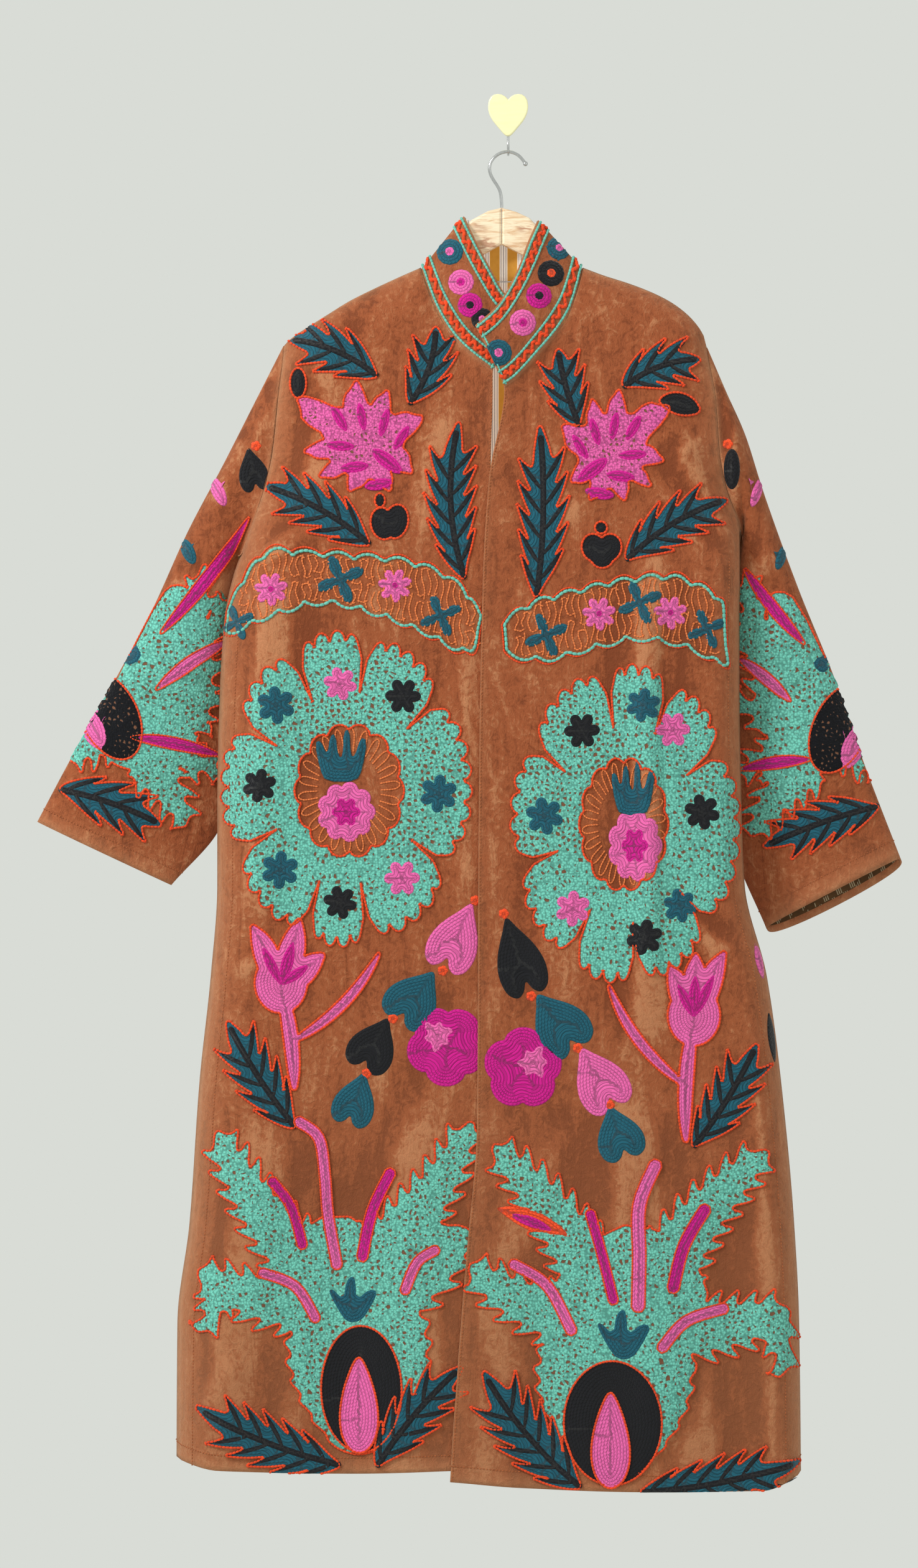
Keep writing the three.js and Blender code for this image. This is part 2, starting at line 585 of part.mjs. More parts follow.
function heartPlaque() {
  const w = plaque.width / 2;
  const h = plaque.height / 2;
  const shape = new THREE.Shape();
  shape.moveTo(0, -h);
  shape.bezierCurveTo(3, -h, 5, -h + 3, w * 0.62, -h * 0.42);
  shape.bezierCurveTo(w * 0.95, -h * 0.05, w, h * 0.25, w, h * 0.48);
  shape.bezierCurveTo(w, h * 1.18, w * 0.28, h * 1.18, 0, h * 0.78);
  shape.bezierCurveTo(-w * 0.28, h * 1.18, -w, h * 1.18, -w, h * 0.48);
  shape.bezierCurveTo(-w, h * 0.25, -w * 0.95, -h * 0.05, -w * 0.62, -h * 0.42);
  shape.bezierCurveTo(-5, -h + 3, -3, -h, 0, -h);
  const geometry = new THREE.ExtrudeGeometry(shape, {
    depth: plaque.thick - 2 * plaque.bevel,
    bevelThickness: plaque.bevel,
    bevelSize: plaque.bevel,
    bevelOffset: -plaque.bevel,
    bevelSegments: 2,
    curveSegments: 7,
  });
  geometry.rotateX(Math.PI / 2);
  return geometry.translate(0, -plaque.bevel, 0);
}

const finishes = {
  velvet: new THREE.MeshStandardMaterial({ color: colours.velvet, roughness: 0.9, metalness: 0, side: THREE.DoubleSide }),
  stripes: new THREE.MeshStandardMaterial({ color: colours.stripes, roughness: 0.85, metalness: 0 }),
  wood: new THREE.MeshStandardMaterial({ color: colours.wood, roughness: 0.55, metalness: 0 }),
  wire: new THREE.MeshStandardMaterial({ color: colours.wire, roughness: 0.2, metalness: 1 }),
  plaque: new THREE.MeshStandardMaterial({ color: colours.plaque, roughness: 0.4, metalness: 0 }),
};

const robe = new THREE.Group();

function add(name, geometry, finish) {
  const mesh = new THREE.Mesh(geometry, finishes[finish].clone());
  mesh.name = name;
  robe.add(mesh);
}

const fronts = { right: frontPanel('right'), left: frontPanel('left') };
const back = backPanel();
add('right_front', wall(fronts.right, { outward: -1, thick: cloth, face: -1 }), 'velvet');
add('left_front', wall(fronts.left, { outward: 1, thick: cloth, face: -1 }), 'velvet');
add('back', wall(back, { outward: -1, thick: cloth, face: 1 }), 'velvet');

const sleeves = { right: sleeveGrid('right', fronts.right, back), left: sleeveGrid('left', fronts.left, back) };
add('right_sleeve', wall(sleeves.right, { outward: -1, thick: cloth, round: true }), 'velvet');
add('left_sleeve', wall(sleeves.left, { outward: 1, thick: cloth, round: true }), 'velvet');

const collar = collarGrid(fronts, back);
add('collar', wall(collar, { outward: -1, thick: cloth }), 'velvet');

const backLiningColumns = [10, backNeck.columns + 7];
const backLiningRows = [2, 11];
add('back_lining', wall(patch(back, ...backLiningColumns, ...backLiningRows), {
  outward: -1, thick: liningCloth, start: cloth + seam,
}), 'stripes');
add('collar_lining', wall(patch(collar, 0, collarRows.length, 10, 7 + backNeck.columns), {
  outward: -1, thick: liningCloth, start: cloth + seam,
}), 'stripes');
add('left_cuff_lining', wall(patch(sleeves.left, sleeveRings - 3, sleeveRings, 0, sleeves.left[0].length), {
  outward: 1, thick: liningCloth, start: cloth + seam, round: true,
}), 'stripes');

add('hanger_right_arm', hangerArm('right'), 'wood');
add('hanger_left_arm', hangerArm('left'), 'wood');
add('hanger_hook', hangerHook(), 'wire');
add('wall_plate', heartPlaque(), 'plaque');
add('wall_hook', wallHook(), 'wire');

export default robe;
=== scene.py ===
import math

import bmesh
import bpy
import numpy as np
from mathutils import Matrix, Vector
from mathutils.bvhtree import BVHTree
from mathutils.geometry import delaunay_2d_cdt


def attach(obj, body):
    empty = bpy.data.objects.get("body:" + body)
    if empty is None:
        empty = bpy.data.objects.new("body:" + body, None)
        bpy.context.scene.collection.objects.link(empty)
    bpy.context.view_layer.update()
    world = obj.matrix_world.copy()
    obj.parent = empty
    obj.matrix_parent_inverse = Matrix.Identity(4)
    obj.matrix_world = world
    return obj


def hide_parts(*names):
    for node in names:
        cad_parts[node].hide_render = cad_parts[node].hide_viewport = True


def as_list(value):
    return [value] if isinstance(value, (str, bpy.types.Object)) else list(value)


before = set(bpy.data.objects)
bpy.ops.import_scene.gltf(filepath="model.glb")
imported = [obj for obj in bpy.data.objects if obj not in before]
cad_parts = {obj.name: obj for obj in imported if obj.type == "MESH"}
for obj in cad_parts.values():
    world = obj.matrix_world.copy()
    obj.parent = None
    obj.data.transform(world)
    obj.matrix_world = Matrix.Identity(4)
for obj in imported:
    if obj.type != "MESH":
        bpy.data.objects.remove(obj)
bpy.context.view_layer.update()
scene = bpy.context.scene
mm = 0.001
tau = 2 * math.pi
rng = np.random.default_rng(4)


def rgb(red, green, blue):  # screen colour from 0 to 255, as linear light
    part = [x / 255 for x in (red, green, blue)]
    return tuple(x / 12.92 if x < 0.04045 else ((x + 0.055) / 1.055) ** 2.4 for x in part) + (1,)


colours = {
    "aqua": rgb(112, 198, 180),
    "teal": rgb(14, 84, 102),
    "black": rgb(9, 10, 17),
    "magenta": rgb(196, 10, 132),
    "pink": rgb(224, 96, 164),
    "orange": rgb(238, 76, 30),
    "velvet": rgb(170, 92, 54),
    # velvetLight and velvetDark: random lighter and darker velvet tone, also used as painted highlight on
    # fold ridges and painted shade in fold valleys
    "velvetLight": rgb(212, 146, 102),
    "velvetDark": rgb(112, 54, 28),
}

# Surfaces of the robe, in millimetres

body = {
    "z": [-150, -231, -283, -340, -375, -418, -461, -500, -576, -690, -766, -857, -960, -1101, -1200, -1365],
    "right": [-222, -223, -228, -234, -242, -257, -273, -281, -286, -288.5, -288.5, -295, -306, -316, -328,
              -329],
    "left": [195, 197, 205, 209, 216, 230, 230, 229, 229, 231, 234, 256, 270, 283, 288, 290],
    "mid": [-30, -30, -31, -33, -36, -40, -43, -46, -48, -48, -48, -48, -48, -48, -48, -48],
    "front": [20, 26, 33, 37, 38, 39, 40, 40, 40, 41, 42, 43, 44, 46, 48, 50],
    "back": [14, 14.5, 15, 16, 18, 21, 24, 27, 30, 32, 32, 33, 34, 35, 35, 35],
}
opening = {
    "z": [-240, -274, -365, -461, -666, -999, -1137, -1293, -1360],
    "right": [-15.7, -15.7, -18, -16, -18, -20, -29, -41, -46],
    "left": [-4, -4, -19, -25, -29, -31, -42, -54, -58],
}
shoulder = {
    "right": ([-87, -106, -132, -158, -179, -198, -211, -219, -223],
              [-153.7, -162, -174, -187, -200, -212, -220.5, -227, -231.5]),
    "left": ([74, 95, 120, 142, 160, 176, 187, 194, 198],
             [-153.7, -161.5, -169.5, -178, -187, -198.5, -210, -221, -233]),
}
neckline = {
    "right": ([-15.7, -24.5, -34, -44.5, -54.5, -64, -73, -80.5, -87],
              [-258, -251.5, -244.5, -235.5, -225, -211, -194, -174, -153.7]),
    "left": ([-4, 5, 16, 28, 40, 51, 61.5, 69, 74],
             [-274, -268, -257, -243.5, -230, -216, -198, -175, -153.7]),
}
neckDepth = {"right": 31, "left": 37, "back": 13}
backNeckZ = -167
armpitZ = {"right": -440, "left": -418}
hem = {
    "right": ([0, 0.4, 0.85, 1], [-1341, -1344, -1341, -1332]),
    "left": ([0, 0.2, 0.55, 0.88, 1], [-1352, -1358, -1362, -1361, -1346]),
    "back": ([0, 0.3, 0.7, 1], [-1332, -1338, -1345, -1346]),
}
sideReach = {"right": 48, "left": 30}
backReach, ridgeFront, ridgeBack = 150, 50, 24
armholeFront, armholeBack = 20, 14
seam, cloth, lapLift, lapReach = 0.3, 2.2, 2.6, 34
sleeveSkew = 0.5
sleeve = {
    "right": {
        "mouth": (0, 0),  # how far the front and the back edge hang below a straight cuff
        "outX": [-223, -250, -282, -318, -355, -389, -434, -468],
        "outZ": [-231.5, -284, -347, -415, -496, -560, -640, -704],
        "inX": [-262, -266, -272, -270, -270, -272, -286, -335],
        "inZ": [-440, -452, -484, -534, -600, -652, -708, -767],
        "outY": [-30, -31, -31, -31, -31, -31, -30, -30],
        "inY": [-41, -33, -21, -18, -17, -18, -20, -26],
        "front": [20, 24, 26, 26, 25, 24, 22, 18],
        "back": [14, 15, 15, 14, 13, 13, 13, 13],
    },
    "left": {
        "mouth": (-3, 12.5),
        "outX": [198, 216, 235, 254, 288, 322, 355, 390],
        "outZ": [-233, -276, -319, -378, -472, -556, -650, -741],
        "inX": [230, 235.5, 233, 216, 211, 211, 224, 256.5],
        "inZ": [-418, -428, -455, -500, -570, -640, -728, -810],
        "outY": [-30, -31, -31, -31, -31, -31, -30, -30],
        "inY": [-40, -33, -21, -17, -17, -17, -19, -26],
        "front": [20, 24, 26, 26, 25, 24, 23, 20],
        "back": [14, 15, 15, 14, 13, 13, 13, 14],
    },
}
collarTop = {
    "u": [0, 0.3, 0.55, 0.8, 1, 1.2, 1.5, 1.8, 2, 2.2, 2.5, 2.75, 3],
    "x": [15, -5, -18, -34, -44.5, -34, -7, 21, 29.8, 21, 8, -11, -33],
    "y": [-55, -54, -52, -45, -32, -18, -13, -18, -32, -46, -57, -63, -67],
    "z": [-197, -179, -156, -125, -102.8, -110, -119, -113, -106.6, -126, -160, -193, -213.5],
}
collarRoll = {"height": 4, "out": 0.958, "up": 0.287}

# x0, z0, x1, z1, width and height of each fold
folds = {
    "left": [
        (141, -455, 139, -900, 17, 9), (172, -330, 214, -392, 16, 7), (118, -980, 150, -1330, 30, 7),
        (40, -1120, 30, -1350, 26, -5), (216, -1080, 232, -1350, 28, -8),
        (152, -470, 151, -860, 6, -3.4), (176, -400, 208, -430, 7, -2.6), (150, -360, 205, -404, 6, -2),
        (196, -806, 246, -822, 9, -3), (160, -790, 214, -842, 10, 2.4), (30, -330, 62, -420, 12, 1.6),
        (60, -400, 150, -330, 14, 1.4), (-20, -1180, 60, -1330, 14, 2.2), (200, -1220, 150, -1352, 12, -2.4),
        (20, -640, 16, -900, 12, -1.6), (246, -930, 262, -1120, 9, 2.4), (60, -1000, 10, -1120, 14, 1.8),
    ],
    "right": [
        (-196, -262, -228, -400, 16, -5), (-232, -470, -246, -800, 24, 5), (-238, -1010, -280, -1330, 28, 8),
        (-160, -1050, -170, -1340, 30, -6), (-90, -1000, -96, -1335, 26, 5),
        (-216, -430, -262, -452, 7, 2.2), (-190, -400, -250, -424, 8, -2), (-250, -500, -276, -640, 9, -2),
        (-130, -160, -196, -330, 16, -1.6), (-60, -300, -90, -420, 14, 1.6),
        (-214, -830, -276, -852, 10, 2.2), (-296, -1120, -250, -1230, 10, -2.4),
        (-120, -1220, -70, -1338, 12, -2), (-262, -1230, -312, -1300, 10, 2.2),
        (-40, -500, -44, -780, 10, 1.4), (-60, -860, -110, -1010, 14, -1.6),
    ],
    "back": [
        (-120, -420, -150, -1330, 34, 5), (-30, -500, -40, -1330, 34, -7), (70, -460, 92, -1340, 36, 6),
        (170, -700, 190, -1340, 32, -5), (-170, -330, -60, -420, 20, 2), (150, -330, 40, -430, 20, 2),
        (-230, -900, -120, -1000, 18, -2), (220, -860, 130, -960, 18, 2.2), (-10, -260, -14, -470, 16, 1.6),
    ],
}
sleeveFolds = {
    "right": [
        (-236, -262, -268, -330, 11, -4), (-262, -300, -292, -392, 10, 3), (-300, -560, -372, -530, 10, 2.4),
        (-286, -604, -366, -578, 9, -2.6), (-300, -650, -392, -600, 12, 2),
        (-322, -690, -420, -640, 11, -1.8), (-276, -470, -338, -474, 12, 2),
        (-350, -742, -452, -690, 9, -1.2),
    ],
    "left": [
        (206, -268, 214, -340, 11, -4), (226, -310, 222, -400, 9, 3), (222, -560, 296, -506, 10, 2.4),
        (216, -612, 306, -560, 9, -2.6), (222, -668, 322, -620, 12, 2.2), (240, -722, 344, -668, 11, -1.8),
        (222, -470, 272, -440, 12, 2), (270, -786, 372, -720, 9, -1.2),
    ],
}


def curve(keys, values):  # smooth line through a table, without overshoot
    x, y = np.array(keys, float), np.array(values, float)
    if x[0] > x[-1]:
        x, y = x[::-1], y[::-1]
    d = np.diff(y) / np.diff(x)
    with np.errstate(divide="ignore", invalid="ignore"):
        inner = np.where(d[:-1] * d[1:] > 0, 2 * d[:-1] * d[1:] / (d[:-1] + d[1:]), 0)
    m = np.concatenate([d[:1], inner, d[-1:]])

    def value(v):
        v = np.clip(np.asarray(v, float), x[0], x[-1])
        i = np.clip(np.searchsorted(x, v, side="right") - 1, 0, len(x) - 2)
        h = x[i + 1] - x[i]
        t = (v - x[i]) / h
        near = y[i] * (1 + 2 * t) * (1 - t) ** 2 + m[i] * h * t * (1 - t) ** 2
        return near + y[i + 1] * t * t * (3 - 2 * t) + m[i + 1] * h * t * t * (t - 1)

    return value


bodyAt = {k: curve(body["z"], body[k]) for k in body if k != "z"}
edgeAt = {k: curve(opening["z"], opening[k]) for k in ("right", "left")}
hemAt = {k: curve(*hem[k]) for k in hem}
shoulderAt = {k: curve(*shoulder[k]) for k in shoulder}
necklineAt = {k: curve(*neckline[k]) for k in neckline}
sleeveT = np.linspace(0, 1, 8)
sleeveAt = {s: {k: curve(sleeveT, v) for k, v in sleeve[s].items() if k != "mouth"} for s in sleeve}
cuffWay = np.array([0.459, 0, -0.888])  # square to the left cuff's edge
mouthFrom = 0.86  # share of the sleeve's length where the mouth begins to open
collarAt = {k: curve(collarTop["u"], collarTop[k]) for k in "xyz"}
tipZ = {s: shoulder[s][1][-1] for s in shoulder}


def roundOff(distance, reach, power=0.5):
    q = np.clip(distance / reach, 0, 1)
    return (1 - (1 - q) ** 2) ** power


def armhole(side, z):
    share = np.clip((tipZ[side] - z) / (tipZ[side] - armpitZ[side]), 0, 1)
    return np.sqrt(np.sin(math.pi * share) + 1e-9)


def foldHeight(rows, x, z):
    height = np.zeros(np.broadcast(x, z).shape)
    for x0, z0, x1, z1, width, rise in rows:
        dx, dz = x1 - x0, z1 - z0
        t = np.clip(((x - x0) * dx + (z - z0) * dz) / (dx * dx + dz * dz), 0, 1)
        away = (x - x0 - dx * t) ** 2 + (z - z0 - dz * t) ** 2
        height += rise * np.exp(-away / width**2) * np.minimum(1, 0.25 + 2.2 * np.sin(math.pi * t))
    return height


def frontSurface(side, c, z, topZ, topDepth):
    edge, start = bodyAt[side](z), edgeAt[side](z)
    x = start + (edge - start) * c
    arm = armhole(side, z)
    fromSide, fromEdge = np.abs(edge - x), np.abs(x - start)
    reach = sideReach[side] + (60 - sideReach[side]) * arm
    hollow = armholeFront * arm
    depth = hollow + (bodyAt["front"](z) - hollow) * roundOff(fromSide, reach, 0.5 + 0.5 * arm)
    depth = topDepth + (depth - topDepth) * roundOff(topZ - z, ridgeFront)
    low = np.minimum((topZ - z) / 60, 1)
    lap = (1 - roundOff(fromEdge, lapReach, 1)) * low
    depth = depth + (lapLift if side == "left" else -lapLift * 0.5) * lap
    ease = np.minimum(fromSide / 40, 1) * low * np.minimum((fromEdge + 4) / 30, 1)
    depth = depth + foldHeight(folds[side], x, z) * ease
    return np.stack([x, bodyAt["mid"](z) - np.maximum(depth, seam / 2), z], -1)


def backSurface(c, z, topZ, topDepth):
    start, end = bodyAt["right"](z), bodyAt["left"](z)
    x = start + (end - start) * c
    arm = np.where(c < 0.5, armhole("right", z), armhole("left", z))
    fromSide = np.minimum(x - start, end - x)
    hollow = armholeBack * arm
    depth = hollow + (bodyAt["back"](z) - hollow) * roundOff(fromSide, backReach, 0.5 + 0.5 * arm)
    depth = topDepth + (depth - topDepth) * roundOff(topZ - z, ridgeBack)
    ease = np.minimum(fromSide / 60, 1) * np.minimum((topZ - z) / 90, 1)
    depth = depth + foldHeight(folds["back"], x, z) * ease
    return np.stack([x, bodyAt["mid"](z) + np.maximum(depth, seam / 2), z], -1)


def heights(topZ, level, low, upper, lower):
    a = topZ + (level - topZ) * (np.linspace(0, 1, upper)[:, None] ** 1.25)
    b = level + (low - level) * np.linspace(0, 1, lower + 1)[1:, None]
    return np.concatenate([a, b])


def frontGrid(side, across=52, upper=58, lower=176):
    neckX, tip = shoulder[side][0][0], shoulder[side][0][-1]
    startX = neckline[side][0][0]
    neck = neckX + (startX - neckX) * np.cos(np.linspace(0, math.pi / 2, 20))
    rest = np.linspace(neckX, tip, across - 19)[1:]
    share = np.clip(np.abs((neck - startX) / (neckX - startX)), 0, 1)
    topX = np.concatenate([neck, rest])
    topZ = np.concatenate([necklineAt[side](neck), shoulderAt[side](rest)])
    depth = np.concatenate([neckDepth[side] * np.sqrt(1 - share**2), 0 * rest])
    c = (topX - edgeAt[side](topZ)) / (bodyAt[side](topZ) - edgeAt[side](topZ))
    c[0], c[-1] = max(c[0], 0), 1
    z = heights(topZ[None], armpitZ[side], hemAt[side](c)[None], upper, lower)
    return frontSurface(side, np.broadcast_to(c, z.shape), z, topZ[None], depth[None])


def backGrid(across=60, upper=52, lower=160):
    right = np.linspace(shoulder["right"][0][-1], shoulder["right"][0][0], 24)
    left = np.linspace(shoulder["left"][0][0], shoulder["left"][0][-1], 22)
    t = (1 - np.cos(np.linspace(0, math.pi, across - 44))) / 2
    t = t[1:-1]
    bow = np.sqrt(np.sin(math.pi * t))
    x = np.concatenate([right, right[-1] + (left[0] - right[-1]) * t, left])
    z0 = shoulder["right"][1][0]
    topZ = np.concatenate([shoulderAt["right"](right), z0 + (backNeckZ - z0) * bow, shoulderAt["left"](left)])
    depth = np.concatenate([0 * right, neckDepth["back"] * bow, 0 * left])
    c = (x - bodyAt["right"](topZ)) / (bodyAt["left"](topZ) - bodyAt["right"](topZ))
    c[0], c[-1] = 0, 1
    level = armpitZ["right"] + (armpitZ["left"] - armpitZ["right"]) * c
    z = heights(topZ[None], level[None], hemAt["back"](c)[None], upper, lower)
    return backSurface(np.broadcast_to(c, z.shape), z, topZ[None], depth[None])


def sleeveGrid(side, rings=104, around=44):
    out = 1 if side == "left" else -1
    share = (1 - np.cos(np.linspace(0, math.pi, around + 1))) / 2
    share = np.concatenate([share, share[1:-1][::-1]])
    face = np.where(np.arange(len(share)) <= around, -1, 1)
    z = tipZ[side] + (armpitZ[side] - tipZ[side]) * share
    before = np.maximum(armholeFront * armhole(side, z) * roundOff(tipZ[side] - z, ridgeFront), seam / 2)
    behind = np.maximum(armholeBack * armhole(side, z) * roundOff(tipZ[side] - z, ridgeBack), seam / 2)
    y = bodyAt["mid"](z) + np.where(face < 0, -before, behind)
    y[0], y[around] = bodyAt["mid"](z[0]), bodyAt["mid"](z[around])
    first = np.stack([bodyAt[side](z) + out * (seam + 0.2), y, z], -1)
    at = sleeveAt[side]
    bulge = np.sqrt(np.clip(1 - (2 * share - 1) ** 2, 0, 1))
    skew = np.where(face < 0, 1 - sleeveSkew * share**2, 1)

    def ring(t):
        half = np.where(face < 0, at["front"](t), at["back"](t)) * bulge * skew
        line = [at["out" + k](t) + (at["in" + k](t) - at["out" + k](t)) * share for k in "XYZ"]
        line[1] = line[1] + face * half
        return np.stack(line, -1)

    grid = [first]
    for t in np.linspace(0, 1, rings)[1:]:
        keep = (1 - min(t / 0.2, 1)) ** 2
        p = ring(t) + (first - ring(0)) * keep
        rise = foldHeight(sleeveFolds[side], p[:, 0], p[:, 2]) * bulge * min(t * 12, 1)
        p[:, 1] += face * rise * 1.3
        opened = max((t - mouthFrom) / (1 - mouthFrom), 0) ** 1.5
        hang = np.where(face < 0, *sleeve[side]["mouth"]) * bulge**0.6 * opened
        p += hang[:, None] * cuffWay
        grid.append(p)
    return np.array(grid)


def neckEdge(u):  # the neck edge of the panels, from the right front's end to the left one's
    u = np.asarray(u, float)
    index = np.arange(9)
    parts = []
    for side, share in (("right", u), ("left", 3 - u)):
        x = curve(index, neckline[side][0])(share * 8)
        z = curve(index, neckline[side][1])(share * 8)
        ends = neckline[side][0]
        depth = neckDepth[side] * np.sqrt(np.clip(1 - ((x - ends[0]) / (ends[-1] - ends[0])) ** 2, 0, 1))
        parts.append(np.stack([x, bodyAt["mid"](z) - np.maximum(depth, seam / 2), z], -1))
    t = np.clip(u - 1, 0, 1)
    bow = np.sqrt(np.sin(math.pi * t))
    start, end, z0 = shoulder["right"][0][0], shoulder["left"][0][0], shoulder["right"][1][0]
    x = start + (end - start) * t
    z = z0 + (backNeckZ - z0) * bow
    middle = np.stack([x, bodyAt["mid"](z) + np.maximum(neckDepth["back"] * bow, seam / 2), z], -1)
    return np.where((u < 1)[..., None], parts[0], np.where((u > 2)[..., None], parts[1], middle))


def collarPoint(u, b):
    u, b = np.broadcast_arrays(np.asarray(u, float), np.asarray(b, float))
    low = neckEdge(u) + np.array([0, 0, seam + 0.15])
    top = np.stack([collarAt[k](u) for k in "xyz"], -1)
    p = low + (top - low) * b[..., None]
    side = np.minimum(np.minimum(np.abs(u - 1), np.abs(u - 2)), 0.4) / 0.4
    rise = collarRoll["height"] * side * np.sin(math.pi * b) ** 2
    p[..., 1] += np.where((u > 1) & (u < 2), 1, -1) * collarRoll["out"] * rise
    p[..., 2] += collarRoll["up"] * rise
    return p


def collarGrid(columns=150, rows=16):
    return collarPoint(np.linspace(0, 3, columns)[None], np.linspace(0, 1, rows)[:, None])


allFolds = {"right_front": folds["right"], "left_front": folds["left"], "back": folds["back"],
            "right_sleeve": sleeveFolds["right"], "left_sleeve": sleeveFolds["left"]}


def gridMesh(name, grid, outward, closed=False):  # a sheet through a grid of points, in metres
    rows, columns = grid.shape[:2]
    spans = columns if closed else columns - 1
    i, j = np.meshgrid(np.arange(rows - 1), np.arange(spans), indexing="ij")
    k = (j + 1) % columns
    quads = np.stack([i * columns + j, i * columns + k, (i + 1) * columns + k, (i + 1) * columns + j], -1)
    quads = quads.reshape(-1, 4)
    if not outward:
        quads = quads[:, ::-1]
    mesh = bpy.data.meshes.new(name)
    mesh.from_pydata((grid.reshape(-1, 3) * mm).tolist(), [], quads.tolist())
    steps = [np.linalg.norm(np.diff(grid, axis=k), axis=-1) for k in (0, 1)]
    down = np.concatenate([np.zeros((1, columns)), np.cumsum(steps[0], 0)])
    wide = np.concatenate([np.zeros((rows, 1)), np.cumsum(steps[1], 1)], 1)
    uv = np.stack([wide.reshape(-1), -down.reshape(-1)], -1) * mm
    layer = mesh.uv_layers.new(name="cloth")
    loops = np.zeros(len(mesh.loops), np.int32)
    mesh.loops.foreach_get("vertex_index", loops)
    layer.data.foreach_set("uv", uv[loops].astype(np.float32).reshape(-1))
    edge = np.minimum(np.minimum(np.arange(rows), np.arange(rows)[::-1])[:, None] * 5.0, 1e3 + 0 * wide)
    if not closed:
        side = np.minimum(np.arange(columns), np.arange(columns)[::-1])[None] * 4.5
        edge = np.minimum(edge, side + 0 * edge)
    # nearness to the sheet's edges; the velvet is paler there
    nearEdge = mesh.attributes.new("nearEdge", "FLOAT", "POINT")
    nearEdge.data.foreach_set("value", np.exp(-edge.reshape(-1) / 9).astype(np.float32))
    creases = allFolds.get(name.removesuffix("_velvet"), [])
    # crest: how far a fold stands out from the cloth beside it; the velvet turns it into painted highlight on
    # fold ridges and painted shade in fold valleys
    crest = foldHeight(creases, grid[..., 0], grid[..., 2])
    crest = np.clip((crest - (np.roll(crest, 5, 1) + np.roll(crest, -5, 1)) / 2) / 1.6, -1, 1)
    if not closed:
        crest[:, :5], crest[:, -5:] = 0, 0
    folded = mesh.attributes.new("crest", "FLOAT", "POINT")
    folded.data.foreach_set("value", crest.reshape(-1).astype(np.float32))
    mesh.shade_smooth()
    piece = bpy.data.objects.new(name, mesh)
    scene.collection.objects.link(piece)
    return piece


# Materials

class Nodes:  # short calls for building a node tree
    def __init__(self, name):
        self.material = bpy.data.materials.new(name)
        self.material.use_nodes = True
        self.tree = self.material.node_tree
        self.shader = self.tree.nodes["Principled BSDF"]

    def add(self, kind, inputs=None, **settings):
        node = self.tree.nodes.new(kind)
        for key, value in settings.items():
            setattr(node, key, value)
        for key, value in (inputs or {}).items():
            self.put(node, key, value)
        return node

    def put(self, node, key, value):
        socket = node.inputs[key]
        if isinstance(value, bpy.types.NodeSocket):
            self.tree.links.new(value, socket)
        elif isinstance(value, bpy.types.Node):
            self.tree.links.new(value.outputs[0], socket)
        else:
            socket.default_value = value

    def math(self, operation, a, b=0.0, clamp=False):
        node = self.add("ShaderNodeMath", {0: a, 1: b}, operation=operation, use_clamp=clamp)
        return node.outputs[0]

    def mix(self, factor, a, b, blend="MIX"):
        node = self.add("ShaderNodeMix", {0: factor, 6: a, 7: b}, data_type="RGBA", blend_type=blend)
        return node.outputs[2]

    def noise(self, vector, scale, detail=3.0, rough=0.55, distortion=0.0):
        values = {"Vector": vector, "Scale": scale, "Detail": detail, "Roughness": rough}
        return self.add("ShaderNodeTexNoise", {**values, "Distortion": distortion}).outputs[0]

    def ramp(self, factor, low, high):
        node = self.add("ShaderNodeMapRange", {"Value": factor, "From Min": low, "From Max": high},
                        interpolation_type="SMOOTHSTEP")
        return node.outputs[0]

    def place(self, scale=(1, 1, 1), turn=(0, 0, 0), source=None):
        source = source or self.add("ShaderNodeTexCoord").outputs["Object"]
        return self.add("ShaderNodeMapping", {"Vector": source, "Scale": scale, "Rotation": turn}).outputs[0]

    def finish(self, colour, height=None, distance=0.001, strength=1.0, **values):
        self.put(self.shader, "Base Color", colour)
        for key, value in values.items():
            self.put(self.shader, key, value)
        if height is not None:
            bump = self.add("ShaderNodeBump", {"Height": height, "Distance": distance, "Strength": strength})
            self.put(self.shader, "Normal", bump)
        return self.material


# darker and lighter copies of a colour, used as painted shade and highlight on the chain and net stitches and
# as random tint on single stitches
def tintAndShade(colour, share, lift=0.0):
    return tuple(min(x * share + lift, 1) for x in colour[:3]) + (1,)


